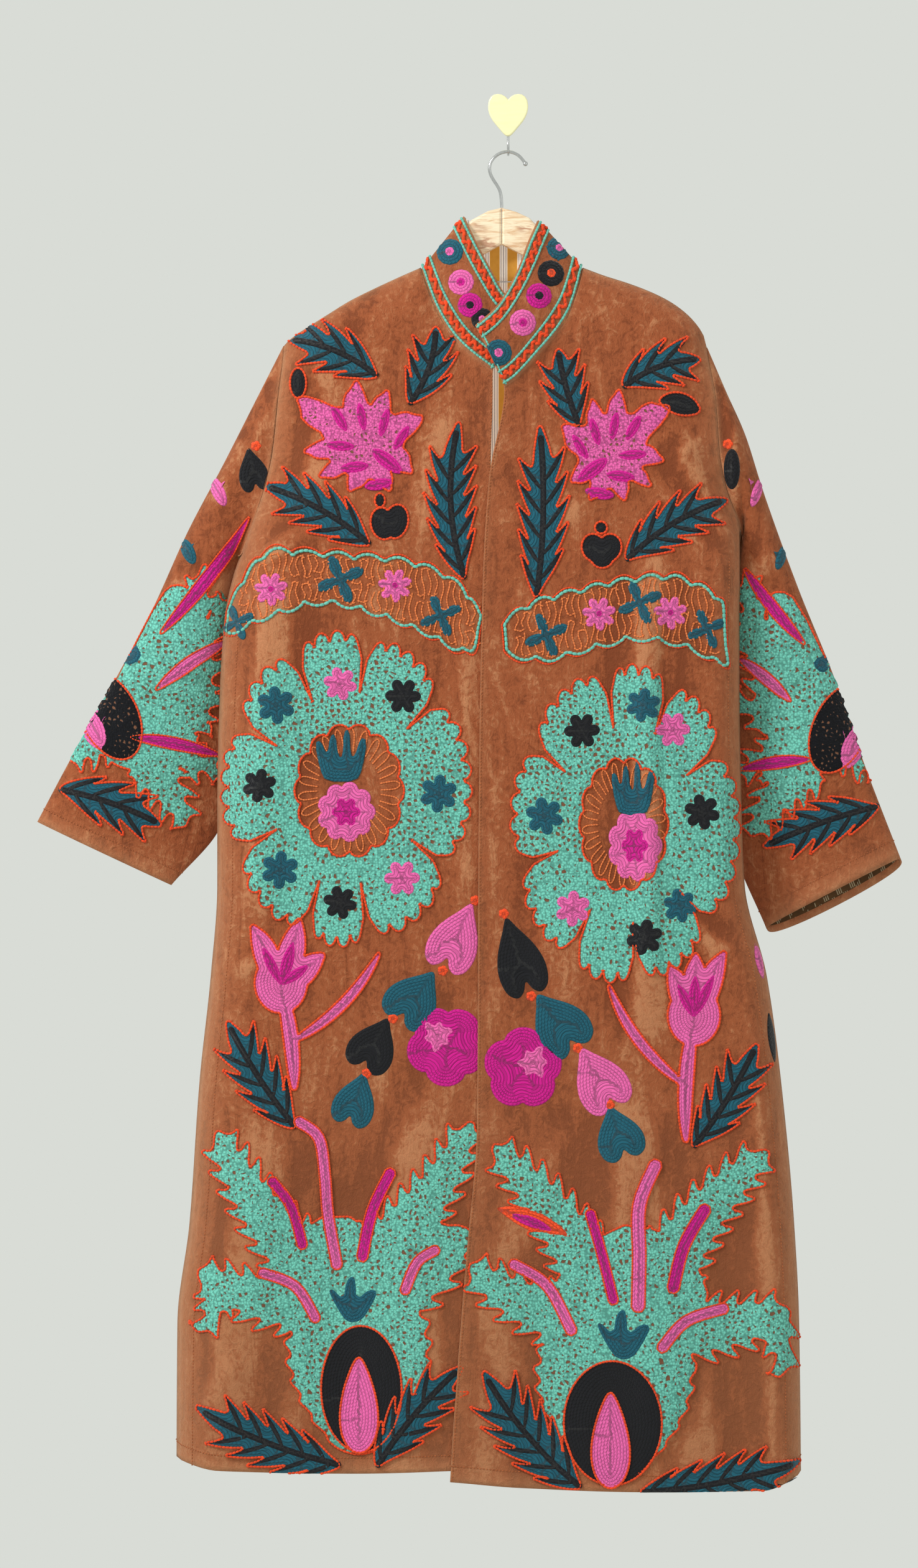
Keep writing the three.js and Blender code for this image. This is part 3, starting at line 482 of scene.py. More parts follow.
def velvetMaterial():
    n = Nodes("velvet")
    crushAndCreaseShade = n.math("MULTIPLY", n.noise(n.place((1, 1, 0.24)), 40, 6, 0.64, 1.4), 0.38)
    layers = (
        (n.place((1, 1, 1), (0, 0.7, 0)), 95, 0.64, 0.36),
        (n.place(), 7, 0.5, 0.11),
        (n.place((1, 1, 0.5), (0, -0.4, 0)), 260, 0.62, 0.20),
    )
    for place, scale, rough, share in layers:
        crushAndCreaseShade = n.math("ADD", crushAndCreaseShade, n.math("MULTIPLY", n.noise(place, scale, 5, rough, 1.6), share))
    # painted highlight on fold ridges and painted shade in fold valleys, added to the random crush of the
    # pile; the sum also feeds the bump
    crest = n.add("ShaderNodeAttribute", attribute_name="crest").outputs["Fac"]
    crushAndCreaseShade = n.math("ADD", crushAndCreaseShade, n.math("MULTIPLY", crest, 0.11))
    # dark and light velvet: random crushed tone, together with the painted fold shade and highlight
    dark = n.ramp(crushAndCreaseShade, 0.53, 0.42)
    light = n.ramp(crushAndCreaseShade, 0.53, 0.67)
    colour = n.mix(n.math("MULTIPLY", dark, 0.66), colours["velvet"], colours["velvetDark"])
    colour = n.mix(n.math("MULTIPLY", light, 0.80), colour, colours["velvetLight"])
    split = n.add("ShaderNodeSeparateXYZ", {0: n.place()})
    low = n.ramp(split.outputs[2], -0.75, -1.30)
    colour = n.mix(n.math("MULTIPLY", low, 0.34), colour, rgb(166, 112, 76))
    # paler, patchy velvet near the edges of each panel
    nearEdge = n.add("ShaderNodeAttribute", attribute_name="nearEdge").outputs["Fac"]
    paleEdge = n.math("MULTIPLY", nearEdge, n.math("ADD", 0.25, n.noise(n.place(), 90, 2)), clamp=True)
    colour = n.mix(n.math("MULTIPLY", paleEdge, 0.6), colour, rgb(220, 160, 116))
    pile = n.noise(n.place(), 1600, 2, 0.7)
    colour = n.mix(n.math("MULTIPLY", pile, 0.30), colour, colours["velvetDark"])
    height = n.math("ADD", crushAndCreaseShade, n.math("MULTIPLY", pile, 0.10))
    return n.finish(colour, height, 0.009, 0.80, **{
        "Roughness": 0.80, "Sheen Weight": 0.55, "Sheen Roughness": 0.30, "Sheen Tint": rgb(240, 190, 150),
        "Specular IOR Level": 0.2})


# widths in metres, and the place and half width of each grey line as shares of the pitch
stripes = {"pitch": 0.0176, "yokeEnd": -0.248, "step": 0.0088,
           "lines": ((0.60, 0.018), (0.735, 0.022), (0.87, 0.018))}


def liningMaterial():
    n = Nodes("striped lining")
    uv = n.add("ShaderNodeUVMap", uv_map="cloth").outputs[0]
    split = n.add("ShaderNodeSeparateXYZ", {0: n.place()})
    below = n.math("LESS_THAN", split.outputs[2], stripes["yokeEnd"])  # where the stripes step aside
    x = n.math("ADD", split.outputs[0], n.math("MULTIPLY", below, stripes["step"]))
    phase = n.math("FRACT", n.math("DIVIDE", x, stripes["pitch"]))
    white = n.math("MULTIPLY", n.ramp(phase, 0.50, 0.53), n.ramp(phase, 0.97, 0.94))
    lines = 0.0
    for place, half in stripes["lines"]:
        line = n.math("LESS_THAN", n.math("ABSOLUTE", n.math("SUBTRACT", phase, place)), half)
        lines = n.math("MAXIMUM", lines, line)
    mustard = n.mix(n.noise(n.place(), 120, 2), rgb(196, 138, 48), rgb(222, 166, 76))
    colour = n.mix(white, mustard, rgb(250, 247, 238))
    colour = n.mix(n.math("MULTIPLY", lines, 0.75), colour, rgb(92, 84, 100))
    weft = n.add("ShaderNodeTexWave", {"Vector": uv, "Scale": 700.0}, bands_direction="Y").outputs[0]
    warp = n.add("ShaderNodeTexWave", {"Vector": uv, "Scale": 700.0}, bands_direction="X").outputs[0]
    weave = n.math("MULTIPLY", weft, warp)
    colour = n.mix(n.math("MULTIPLY", weave, 0.25), colour, rgb(90, 66, 40), "MULTIPLY")
    n.put(n.shader, "Emission Color", colour)  # painted glow: the lining gives off a little light of its own colour, standing in for light coming through the thin cloth
    return n.finish(colour, weave, 0.0004, 0.6, **{
        "Roughness": 0.9, "Specular IOR Level": 0.2, "Emission Strength": 0.30})


ticks = {"pitch": 0.0147, "row": 0.012, "perPitch": 7.0, "width": 0.45, "group": 0.40, "length": 0.6}


def cuffLiningMaterial():
    n = Nodes("cuff lining")
    uv = n.add("ShaderNodeUVMap", uv_map="cloth").outputs[0]
    split = n.add("ShaderNodeSeparateXYZ", {0: uv})
    x = n.math("FRACT", n.math("DIVIDE", split.outputs[0], ticks["pitch"]))
    three = n.math("LESS_THAN", n.math("FRACT", n.math("MULTIPLY", x, ticks["perPitch"])), ticks["width"])
    three = n.math("MULTIPLY", three, n.math("LESS_THAN", x, ticks["group"]))
    y = n.math("FRACT", n.math("DIVIDE", split.outputs[1], ticks["row"]))
    dash = n.math("MULTIPLY", three, n.math("LESS_THAN", y, ticks["length"]))
    base = n.mix(n.noise(n.place(), 200, 2), rgb(74, 50, 30), rgb(98, 70, 42))
    colour = n.mix(n.math("MULTIPLY", dash, 0.7), base, rgb(186, 170, 140))
    weave = n.noise(n.place(), 1500, 1)
    return n.finish(colour, weave, 0.0004, 0.5, **{"Roughness": 0.9, "Specular IOR Level": 0.2})


def chainMaterial(name, colour, row=0.0031, link=0.0042):  # rows of chain stitch round a shape
    n = Nodes(name + " chain")
    uv = n.add("ShaderNodeUVMap", uv_map="thread").outputs[0]
    wobble = n.math("MULTIPLY", n.math("SUBTRACT", n.noise(n.place(), 150, 2), 0.5), 0.0016)
    split = n.add("ShaderNodeSeparateXYZ", {0: uv})
    v = n.math("DIVIDE", n.math("ADD", split.outputs[1], wobble), row)
    line = n.math("FLOOR", v)
    across = n.math("ABSOLUTE", n.math("SUBTRACT", n.math("FRACT", v), 0.5))
    shift = n.math("ADD", n.math("MULTIPLY", line, 0.37), n.math("MULTIPLY", across, 0.9))
    along = n.math("ADD", n.math("DIVIDE", split.outputs[0], link), shift)
    ridge = n.math("SQRT", n.math("SUBTRACT", 1.0, n.math("POWER", n.math("MULTIPLY", across, 1.98), 2.0)))
    loop = n.math("SINE", n.math("MULTIPLY", n.math("FRACT", along), math.pi))
    height = n.math("MULTIPLY", ridge, n.math("ADD", 0.45, n.math("MULTIPLY", loop, 0.55)))
    cell = n.add("ShaderNodeCombineXYZ", {0: n.math("FLOOR", along), 1: line}).outputs[0]
    random = n.add("ShaderNodeTexWhiteNoise", {"Vector": cell}, noise_dimensions="2D").outputs[0]
    fibre = n.noise(n.place(), 1400, 2, 0.7)
    broad = n.noise(n.place(), 45, 2)
    # painted shade and highlight: darker in the grooves between rows and loops and lighter on the loop tops,
    # from the stitch height, with random tone per link and fibre tone
    shade = n.math("ADD", n.math("MULTIPLY", height, 0.62), n.math("MULTIPLY", random, 0.16))
    shade = n.math("ADD", shade, n.math("MULTIPLY", n.math("ADD", fibre, broad), 0.14))
    # a shaded and a lit copy of the thread's colour
    mixed = n.mix(n.ramp(shade, 0.12, 0.78), tintAndShade(colour, 0.36), tintAndShade(colour, 1.12, 0.006))
    height = n.math("ADD", height, n.math("MULTIPLY", fibre, 0.15))
    return n.finish(mixed, height, 0.0011, 0.85, **{
        "Roughness": 0.86, "Specular IOR Level": 0.18, "Sheen Weight": 0.18, "Sheen Roughness": 0.5})


def netMaterial(name, colour, shadedGround, scale=185.0, fill=0.265):  # open looped stitches with gaps between
    n = Nodes(name + " net")
    warp = n.noise(n.place(), 110, 2)
    place = n.add("ShaderNodeVectorMath", {0: n.place(), 1: n.add("ShaderNodeCombineXYZ", {
        0: n.math("MULTIPLY", warp, 0.004), 2: n.math("MULTIPLY", warp, -0.004)}).outputs[0]}).outputs[0]
    cells = n.add("ShaderNodeTexVoronoi", {"Vector": place, "Scale": scale, "Randomness": 0.85},
                  feature="DISTANCE_TO_EDGE").outputs[0]
    loops = n.add("ShaderNodeTexVoronoi", {"Vector": place, "Scale": scale * 2.1, "Randomness": 0.8},
                  feature="F1").outputs[0]
    patchy = n.math("MULTIPLY", n.math("SUBTRACT", n.noise(n.place(), 60, 2), 0.5), 0.22)
    limit = n.math("ADD", patchy, fill)
    edge = n.math("SUBTRACT", cells, limit)
    hole = n.ramp(edge, -0.03, 0.05)
    fibre = n.noise(n.place(), 1300, 2, 0.7)
    # painted shade and highlight: the loops lighter in their middles and darker at their edges, following the
    # loop height, with fibre tone
    tone = n.math("ADD", n.math("MULTIPLY", loops, 0.9), n.math("MULTIPLY", fibre, 0.25))
    thread = n.mix(n.ramp(tone, 0.85, 0.25), tintAndShade(colour, 0.50), tintAndShade(colour, 1.12))
    # the holes show the velvet in painted shade
    mixed = n.mix(hole, thread, shadedGround)
    height = n.math("SUBTRACT", n.math("SUBTRACT", 1.0, n.math("MULTIPLY", loops, 0.7)), hole)
    return n.finish(mixed, height, 0.0013, 0.85, **{
        "Roughness": 0.86, "Specular IOR Level": 0.18, "Sheen Weight": 0.15, "Sheen Roughness": 0.5})


def threadMaterial(name, colour):  # single stitches, each in its own tint
    n = Nodes(name + " thread")
    tint = n.add("ShaderNodeAttribute", attribute_name="tint").outputs["Fac"]
    fibre = n.noise(n.place(), 1500, 2, 0.7)
    tone = n.math("ADD", n.math("MULTIPLY", tint, 0.5), n.math("MULTIPLY", fibre, 0.5))
    return n.finish(n.mix(tone, tintAndShade(colour, 0.62), tintAndShade(colour, 1.12)), fibre, 0.0004, 0.7, **{
        "Roughness": 0.85, "Specular IOR Level": 0.2, "Sheen Weight": 0.15, "Sheen Roughness": 0.5})


def woodMaterial():
    n = Nodes("hanger wood")
    rings = n.noise(n.place((1, 1, 6), (0, 0.5, 0)), 30, 5, 0.6, 1.2)
    fine = n.noise(n.place((1, 1, 24), (0, 0.5, 0)), 60, 3, 0.6)
    colour = n.mix(n.ramp(rings, 0.42, 0.70), rgb(246, 228, 196), rgb(216, 172, 128))
    patch = n.ramp(n.noise(n.place((1, 1, 2)), 26, 2), 0.54, 0.68)
    patch = n.math("MULTIPLY", patch, n.ramp(rings, 0.46, 0.60))
    colour = n.mix(n.math("MULTIPLY", patch, 0.7), colour, rgb(172, 116, 92))
    colour = n.mix(n.math("MULTIPLY", n.ramp(fine, 0.5, 0.75), 0.4), colour, rgb(170, 118, 76))
    return n.finish(colour, fine, 0.0003, 0.4, **{
        "Roughness": 0.45, "Coat Weight": 0.25, "Coat Roughness": 0.3})


def metalMaterial():
    n = Nodes("hook wire")
    streak = n.noise(n.place((1, 1, 0.2)), 700, 3)
    colour = n.mix(streak, rgb(176, 178, 180), rgb(214, 214, 212))
    rough = n.ramp(n.noise(n.place(), 240, 3), 0.2, 0.9)
    rough = n.math("ADD", 0.16, n.math("MULTIPLY", rough, 0.16))
    return n.finish(colour, streak, 0.0001, 0.2, **{"Metallic": 1.0, "Roughness": rough})


def plaqueMaterial():
    n = Nodes("plaque")
    grain = n.noise(n.place((1, 1, 8), (0, 0.3, 0)), 60, 4)
    colour = n.mix(grain, rgb(247, 243, 192), rgb(238, 232, 178))
    return n.finish(colour, grain, 0.0002, 0.3, **{"Roughness": 0.42, "Coat Weight": 0.2})


velvet, lining, cuffLining = velvetMaterial(), liningMaterial(), cuffLiningMaterial()
# the velvet seen through the nets' holes, painted darker as shade at the bottom of the holes
shadedGround = rgb(116, 76, 54)
wools = ("teal", "black", "magenta", "pink", "orange")
finishes = {key: chainMaterial(key, colours[key]) for key in wools}
finishes["aquaNet"] = netMaterial("aqua", colours["aqua"], shadedGround)
finishes["pinkNet"] = netMaterial("pink", colours["pink"], shadedGround, 205.0, 0.31)
finishes["blackNet"] = netMaterial("black", colours["black"], shadedGround, 215.0, 0.30)
threads = {key: threadMaterial(key, colours[key]) for key in ("aqua", "orange")}
threads["copper"] = threadMaterial("copper", rgb(232, 128, 70))
threads["tan"] = threadMaterial("topstitch", rgb(176, 100, 56))
finishOrder = list(finishes)
print("materials made")


# Cloth

def thicken(piece, materials, thickness, offset):
    for material in materials:
        piece.data.materials.append(material)
    wall = piece.modifiers.new("wall", "SOLIDIFY")
    wall.thickness = thickness * mm
    wall.offset = offset
    wall.material_offset = len(materials) > 1
    wall.material_offset_rim = 0
    return piece


grids = {
    "right_front": frontGrid("right"),
    "left_front": frontGrid("left"),
    "back": backGrid(),
    "right_sleeve": sleeveGrid("right"),
    "left_sleeve": sleeveGrid("left"),
    "collar": collarGrid(),
}


def facesOut(name, grid):  # which winding turns a sheet's faces away from the body
    rows, columns = grid.shape[:2]
    i, j = rows // 2, columns // 4
    a = grid[i, (j + 1) % columns] - grid[i, j]
    b = grid[i + 1, j] - grid[i, j]
    normal = np.cross(a, b)
    away = {"back": (0, 1, 0)}.get(name, (0, -1, 0))
    return float(np.dot(normal, away)) < 0


hemTurn = {"top": 1290, "cuffRows": 1}  # where the turned hem starts, and its rows at a cuff
shells = {}
casters = {}
for name, grid in grids.items():
    closed = name.endswith("sleeve")
    flip = facesOut(name, grid)
    sheet = gridMesh(name + "_velvet", grid, not flip, closed)
    shells[name] = thicken(sheet, (velvet, cuffLining if closed else lining, velvet), cloth, -1)
    mesh = sheet.data
    if name != "collar":  # the velvet hem, turned up on the inside
        below = grid[..., 2].max(1)[:-1] < -hemTurn["top"]
        if closed:
            below = np.arange(len(grid) - 1) >= len(grid) - 1 - hemTurn["cuffRows"]
        rows = np.repeat(below, grid.shape[1] - (0 if closed else 1))
        mesh.polygons.foreach_set("material_index", np.where(rows, 2, 0).astype(np.int32))
    points = [v.co.copy() for v in mesh.vertices]
    polygons = [list(p.vertices) for p in mesh.polygons]
    casters[name] = BVHTree.FromPolygons(points, polygons)
    if name == "collar":
        columns = grid.shape[1]
        for part, low, high in (("collar_right", 0, columns // 2), ("collar_left", columns // 2, columns)):
            kept = [p for p in polygons if all(low <= q % columns < high for q in p)]
            casters[part] = BVHTree.FromPolygons(points, kept)
print("velvet made")


def project(panel, flat, lift):  # points of the front view, in mm, laid on a panel at a height above it
    behind = panel == "back"
    start, middle = (0.4, -0.03) if behind else (-0.4, -0.07)
    ray = Vector((0, -1 if behind else 1, 0))
    tree = casters[panel]
    spots, normals, missed = [], [], []
    for x, z in flat:
        hit = tree.ray_cast(Vector((x * mm, start, z * mm)), ray)
        missed.append(hit[0] is None)
        if missed[-1]:
            hit = tree.find_nearest(Vector((x * mm, middle, z * mm)))
        spots.append(hit[0])
        normals.append(hit[1] if hit[1].y * ray.y < 0 else -hit[1])
    spots, normals = np.array(spots), np.array(normals)
    return spots + normals * (np.asarray(lift) * mm)[:, None], normals, np.array(missed)


# Shapes of the flowers, in millimetres in the front view

def runningLength(points):
    return np.concatenate([[0], np.cumsum(np.linalg.norm(np.diff(points, axis=0), axis=1))])


def turned(points, turn, centre):
    c, s = math.cos(turn), math.sin(turn)
    return points @ np.array([[c, s], [-s, c]]) + np.array(centre, float)


def spline(points, closed, per):
    p = np.array(points, float)
    n = len(p)
    out = []
    for i in range(n if closed else n - 1):
        near = [p[(i + k) % n] if closed else p[min(max(i + k, 0), n - 1)] for k in (-1, 0, 1, 2)]
        for t in np.arange(per) / per:
            out.append(0.5 * (2 * near[1] + (near[2] - near[0]) * t
                              + (2 * near[0] - 5 * near[1] + 4 * near[2] - near[3]) * t * t
                              + (3 * near[1] - near[0] - 3 * near[2] + near[3]) * t**3))
    if not closed:
        out.append(p[-1])
    return np.array(out)


def soften(points):  # cuts the corners of a closed outline
    p = np.array(points, float)
    q = np.roll(p, -1, 0)
    return np.stack([p * 0.75 + q * 0.25, p * 0.25 + q * 0.75], 1).reshape(-1, 2)


def resample(points, step, closed=True):
    p = np.array(points, float)
    if closed:
        p = np.concatenate([p, p[:1]])
    length = runningLength(p)
    count = max(int(length[-1] / step), 6 if closed else 1)
    at = np.linspace(0, length[-1], count + 1)
    out = np.stack([np.interp(at, length, p[:, k]) for k in (0, 1)], -1)
    return out[:-1] if closed else out


def bent(base, tip, bend):  # a curved line between two points, with its normals
    a, b = np.array(base, float), np.array(tip, float)
    side = np.array([-(b - a)[1], (b - a)[0]])
    middle = (a + b) / 2 + side * bend

    def at(t):
        return (1 - t) ** 2 * a + 2 * t * (1 - t) * middle + t * t * b

    def normal(t):
        d = 2 * (1 - t) * (middle - a) + 2 * t * (b - middle)
        return np.array([-d[1], d[0]]) / max(np.hypot(*d), 1e-6)

    return at, normal


def lobeLine(base, tip, width, bend):  # notches and lobe tips along both sides of a leaf
    at, normal = bent(base, tip, bend)
    length = np.hypot(*(np.array(tip, float) - np.array(base, float)))
    count = max(round(length / 31), 3)
    for side in (1, -1):
        for k in range(count):
            t0 = 0.05 + 0.72 * (k + (0.35 if side < 0 else 0)) / count
            t1 = t0 + 0.72 / count
            size = width * 0.88 * math.sin(math.pi * min(0.5, 0.14 + 0.72 * t1))
            size *= 1 - 0.42 * max(t1 - 0.55, 0)
            reach = t1 + 0.56 * size / length
            yield at, normal, side, k, t0, t1, size, reach


def leaf(base, tip, width, bend=0.0):
    sides = {1: [], -1: []}
    last = {}
    for at, normal, side, k, t0, t1, size, reach in lobeLine(base, tip, width, bend):
        dip = 0.46 * size if k else 0.30 * size
        line = sides[side]
        for share, out in ((0.0, 0.0), (0.38, 0.46), (0.72, 0.78)):
            t = t0 + (reach - t0) * share
            line.append(at(t) + normal(min(t, 1)) * side * (dip + (size - dip) * out))
        line.append(at(reach) + normal(min(reach, 1)) * side * size)
        line.append(at(t1 + (reach - t1) * 0.35) + normal(t1) * side * (dip + (size - dip) * 0.42))
        last[side] = (t1, dip, at, normal)
    for side, (t, dip, at, normal) in last.items():
        sides[side].append(at(t) + normal(t) * side * dip * 0.86)
        sides[side].append(at((t + 1.02) / 2) + normal(t) * side * dip * 0.62)
    return soften([at(0.0)] + sides[1] + [at(1.05)] + sides[-1][::-1])


def vein(base, tip, width, bend=0.0):  # the dark middle of a leaf, with a spur into each lobe
    shapes = []
    for at, normal, side, k, t0, t1, size, reach in lobeLine(base, tip, width, bend):
        end = at(reach) + normal(min(reach, 1)) * side * size
        start = at(t0 + 0.01)
        shapes.append(blade(start, start + (end - start) * 0.80, 4.4, 0.06 * side, 0.35))
    ends = [at(0.02), at(0.25), at(0.5), at(0.75), at(0.95)]
    return shapes + [ribbon(ends, 6.0)]


def frond(base, tip, wide, narrow, count=8, bend=0.0, tooth=11.0, lean=0.8):  # an arm with toothed sides
    at, normal = bent(base, tip, bend)
    length = np.hypot(*(np.array(tip, float) - np.array(base, float)))
    sides = []
    for side in (1, -1):
        line = [at(0) + normal(0) * side * wide]
        for k in range(count):
            t0 = (k + (0.4 if side < 0 else 0)) / count * 0.94
            t1 = t0 + 0.94 / count
            half = narrow + (wide - narrow) * (1 - t1) ** 0.8
            line.append(at(t0 + 0.25 / count) + normal(t0) * side * half * 0.95)
            forward = min(t1 + lean * tooth / length, 1.01)
            line.append(at(t1) + normal(t1) * side * (half + tooth * 0.75))
            line.append(at(forward) + normal(min(forward, 1)) * side * (half + tooth))
            line.append(at(t1 + 0.01) + normal(t1) * side * half * 0.92)
        sides.append(line)
    return soften(sides[0] + [at(1.07)] + sides[1][::-1])


def oval(centre, width, height, turn=0.0, count=40):
    a = np.arange(count) / count * tau
    return turned(np.stack([width * np.cos(a), height * np.sin(a)], -1), turn, centre)


def drop(centre, width, height, turn=0.0):  # a seed with its point upwards
    a = np.arange(44) / 44 * tau
    y = np.sin(a)
    x = width * np.cos(a) * (1.12 - 0.62 * ((y + 1) / 2) ** 1.6)
    return turned(np.stack([x, height * y], -1), turn, centre)


def flower(centre, radius, petals=6, depth=0.34, turn=0.0, squash=1.0):
    a = np.arange(petals * 12) / (petals * 12) * tau
    r = radius * (1 - depth + depth * np.abs(np.cos(petals * a / 2)) ** 0.7)
    return np.stack([r * np.cos(a + turn), squash * r * np.sin(a + turn)], -1) + np.array(centre, float)


def fourPoint(centre, radius, turn=0.4):
    a = np.arange(64) / 64 * tau
    r = radius * (0.24 + 0.80 * np.abs(np.cos(2 * a)) ** 2.0)
    return np.stack([r * np.cos(a + turn), r * np.sin(a + turn)], -1) + np.array(centre, float)


def heart(centre, width, height, turn=0.0):  # its point upwards
    half = [(0.16, 0.40), (0.40, 0.12), (0.50, -0.14), (0.44, -0.38), (0.26, -0.48), (0.10, -0.42)]
    shape = [(0, 0.56)] + half + [(0, -0.30)] + [(-x, y) for x, y in half[::-1]]
    return turned(spline([(x * width, y * height) for x, y in shape], True, 4), turn, centre)


def blade(start, end, width, bend=0.0, blunt=0.5):  # a stroke, wider in its middle
    at, normal = bent(start, end, bend)
    ts = np.linspace(0, 1, 14)
    half = [width / 2 * math.sin(math.pi * min(max(t, 0.02), 0.98)) ** blunt for t in ts]
    one = [at(t) + normal(t) * h for t, h in zip(ts, half)]
    two = [at(t) - normal(t) * h for t, h in zip(ts, half)]
    return np.array([at(-0.02)] + one + [at(1.02)] + two[::-1])


def ribbon(points, width):  # a stroke of even width with round ends
    p = spline(points, False, 5)
    d = np.gradient(p, axis=0)
    d /= np.maximum(np.linalg.norm(d, axis=1), 1e-6)[:, None]
    n = np.stack([-d[:, 1], d[:, 0]], -1) * width / 2
    cap = [p[-1] + d[-1] * width * 0.35 + n[-1] * 0.5, p[-1] + d[-1] * width * 0.35 - n[-1] * 0.5]
    foot = [p[0] - d[0] * width * 0.35 - n[0] * 0.5, p[0] - d[0] * width * 0.35 + n[0] * 0.5]
    return np.array(list(p + n) + cap + list((p - n)[::-1]) + foot)


def burst(centre, spikes, dip=0.68):  # a blossom with pointed petals: angle in degrees and reach of each
    out = []
    count = len(spikes)
    for k, (angle, reach) in enumerate(spikes):
        after = spikes[(k + 1) % count]
        step = (after[0] - angle) % 360
        low = min(reach, after[1]) * dip
        radii = (reach, reach * 0.88, reach * 0.80, low, after[1] * 0.86)
        for share, r in zip((0.0, 0.13, 0.34, 0.55, 0.85), radii):
            a = math.radians(angle + step * share)
            out.append((r * math.cos(a), r * math.sin(a)))
    return soften(np.array(out) + np.array(centre, float))


def lobed(centre, width, height, slits, scallops=5, slit=0.61, wave=0.070, gap=1.5):  # a large rosette
    out = []
    count = len(slits)
    for k, angle in enumerate(slits):
        step = (slits[(k + 1) % count] - angle) % 360
        many = max(round(scallops * step / 44), 2)
        out.append((angle, slit))
        for s in np.linspace(-1, 1, many * 8 + 1):
            bump = abs(math.sin((s + 1) / 2 * math.pi * many)) ** 0.6 - 1
            lean = gap * (1.6 if abs(s) < 0.99 else 1)
            out.append((angle + lean + (s + 1) / 2 * (step - 2 * lean), 1 - 0.10 * s**4 + wave * bump))
    p = [(width * r * math.cos(math.radians(a)), height * r * math.sin(math.radians(a))) for a, r in out]
    return np.array(p) + np.array(centre, float)


def inside(points, outline):
    x, y = points[:, 0][:, None], points[:, 1][:, None]
    a, b = outline, np.roll(outline, -1, 0)
    with np.errstate(divide="ignore", invalid="ignore"):
        cross = (b[:, 0] - a[:, 0]) * (y - a[:, 1]) / (b[:, 1] - a[:, 1]) + a[:, 0]
    hits = ((a[:, 1] > y) != (b[:, 1] > y)) & (x < cross)
    return hits.sum(1) % 2 == 1


def nearest(points, starts, ends, lengths):  # distance to a set of segments, and how far along they run
    best, along = np.full(len(points), 1e9), np.zeros(len(points))
    for s in range(0, len(points), 1500):
        p = points[s:s + 1500, None]
        d = (ends - starts)[None]
        size = np.maximum((d**2).sum(-1), 1e-12)
        t = np.clip(((p - starts[None]) * d).sum(-1) / size, 0, 1)
        away = np.linalg.norm(p - starts[None] - d * t[..., None], axis=-1)
        pick = away.argmin(1)
        row = np.arange(len(pick))
        best[s:s + 1500] = away[row, pick]
        along[s:s + 1500] = lengths[pick] + t[row, pick] * np.sqrt(size[0, pick])
    return best, along


def region(shapes, cuts=(), step=2.8):  # triangles over the union of outlines, less what is cut out
    shapes = [resample(s, step * 0.8) for s in shapes]
    cuts = [resample(s, step * 0.8) for s in cuts]
    points, edges = [], []
    for loop in shapes + cuts:
        base = len(points)
        points += loop.tolist()
        edges += [(base + k, base + (k + 1) % len(loop)) for k in range(len(loop))]
    low, high = np.min([s.min(0) for s in shapes], 0), np.max([s.max(0) for s in shapes], 0)
    xs, ys = np.arange(low[0], high[0], step), np.arange(low[1], high[1], step * 0.866)
    gx, gy = np.meshgrid(xs, ys)
    gx = gx + (np.arange(len(ys)) % 2)[:, None] * step / 2
    extra = np.stack([gx.reshape(-1), gy.reshape(-1)], -1) + rng.uniform(-0.18, 0.18, (gx.size, 2)) * step
    starts = np.concatenate(shapes + cuts)
    ends = np.concatenate([np.roll(s, -1, 0) for s in shapes + cuts])
    within = np.any([inside(extra, s) for s in shapes], 0)
    for cut in cuts:
        within &= ~inside(extra, cut)
    extra = extra[within]
    if len(extra):
        extra = extra[nearest(extra, starts, ends, np.zeros(len(starts)))[0] > step * 0.55]
    points += extra.tolist()
    result = delaunay_2d_cdt([Vector(p) for p in points], edges, [], 0, 1e-5)
    flat = np.array([tuple(v) for v in result[0]])
    tris = np.array([f for f in result[2] if len(f) == 3])
    middle = flat[tris].mean(1)
    kept = np.any([inside(middle, s) for s in shapes], 0)
    for cut in cuts:
        kept &= ~inside(middle, cut)
    tris = tris[kept]
    seen = {}
    for a, b, c in tris.tolist():
        seen.update({(a, b): 1, (b, c): 1, (c, a): 1})
    follow = {}
    for a, b in seen:
        if (b, a) not in seen:
            follow.setdefault(a, []).append(b)
    loops = []
    while follow:
        start = next(iter(follow))
        loop, here = [start], start
        while here in follow:
            after = follow[here].pop()
            if not follow[here]:
                del follow[here]
            here = after
            if here == start:
                break
            loop.append(here)
        if len(loop) > 4:
            loops.append(flat[loop])
    used, tris = np.unique(tris, return_inverse=True)
    flat, tris = flat[used], tris.reshape(-1, 3)
    starts = np.concatenate(loops)
    ends = np.concatenate([np.roll(s, -1, 0) for s in loops])
    lengths = np.concatenate([[0], np.cumsum(np.linalg.norm(ends - starts, axis=1))[:-1]])
    away, along = nearest(flat, starts, ends, lengths)
    return flat, tris, away, along, loops


fills = {}
lines = {}

# height above the cloth, fullness and mesh step of shapes that are sewn over others
layers = {
    "petal": (0.9, 1.0, 2.2),
    "blossom": (0.8, 1.0, 2.2),
    "stroke": (0.8, 1.1, 2.4),
    "middle": (0.3, 1.3, 2.2),
    "eye": (1.3, 0.8, 2.0),
    "small": (1.0, 1.2, 2.2),
    "inner": (0.9, 0.9, 2.0),
    "seed": (0.9, 1.0, 2.6),
    "drop": (1.9, 0.9, 2.4),
    "disc": (0.0, 1.2, 2.0),
    "discEye": (1.0, 0.8, 1.6),
}


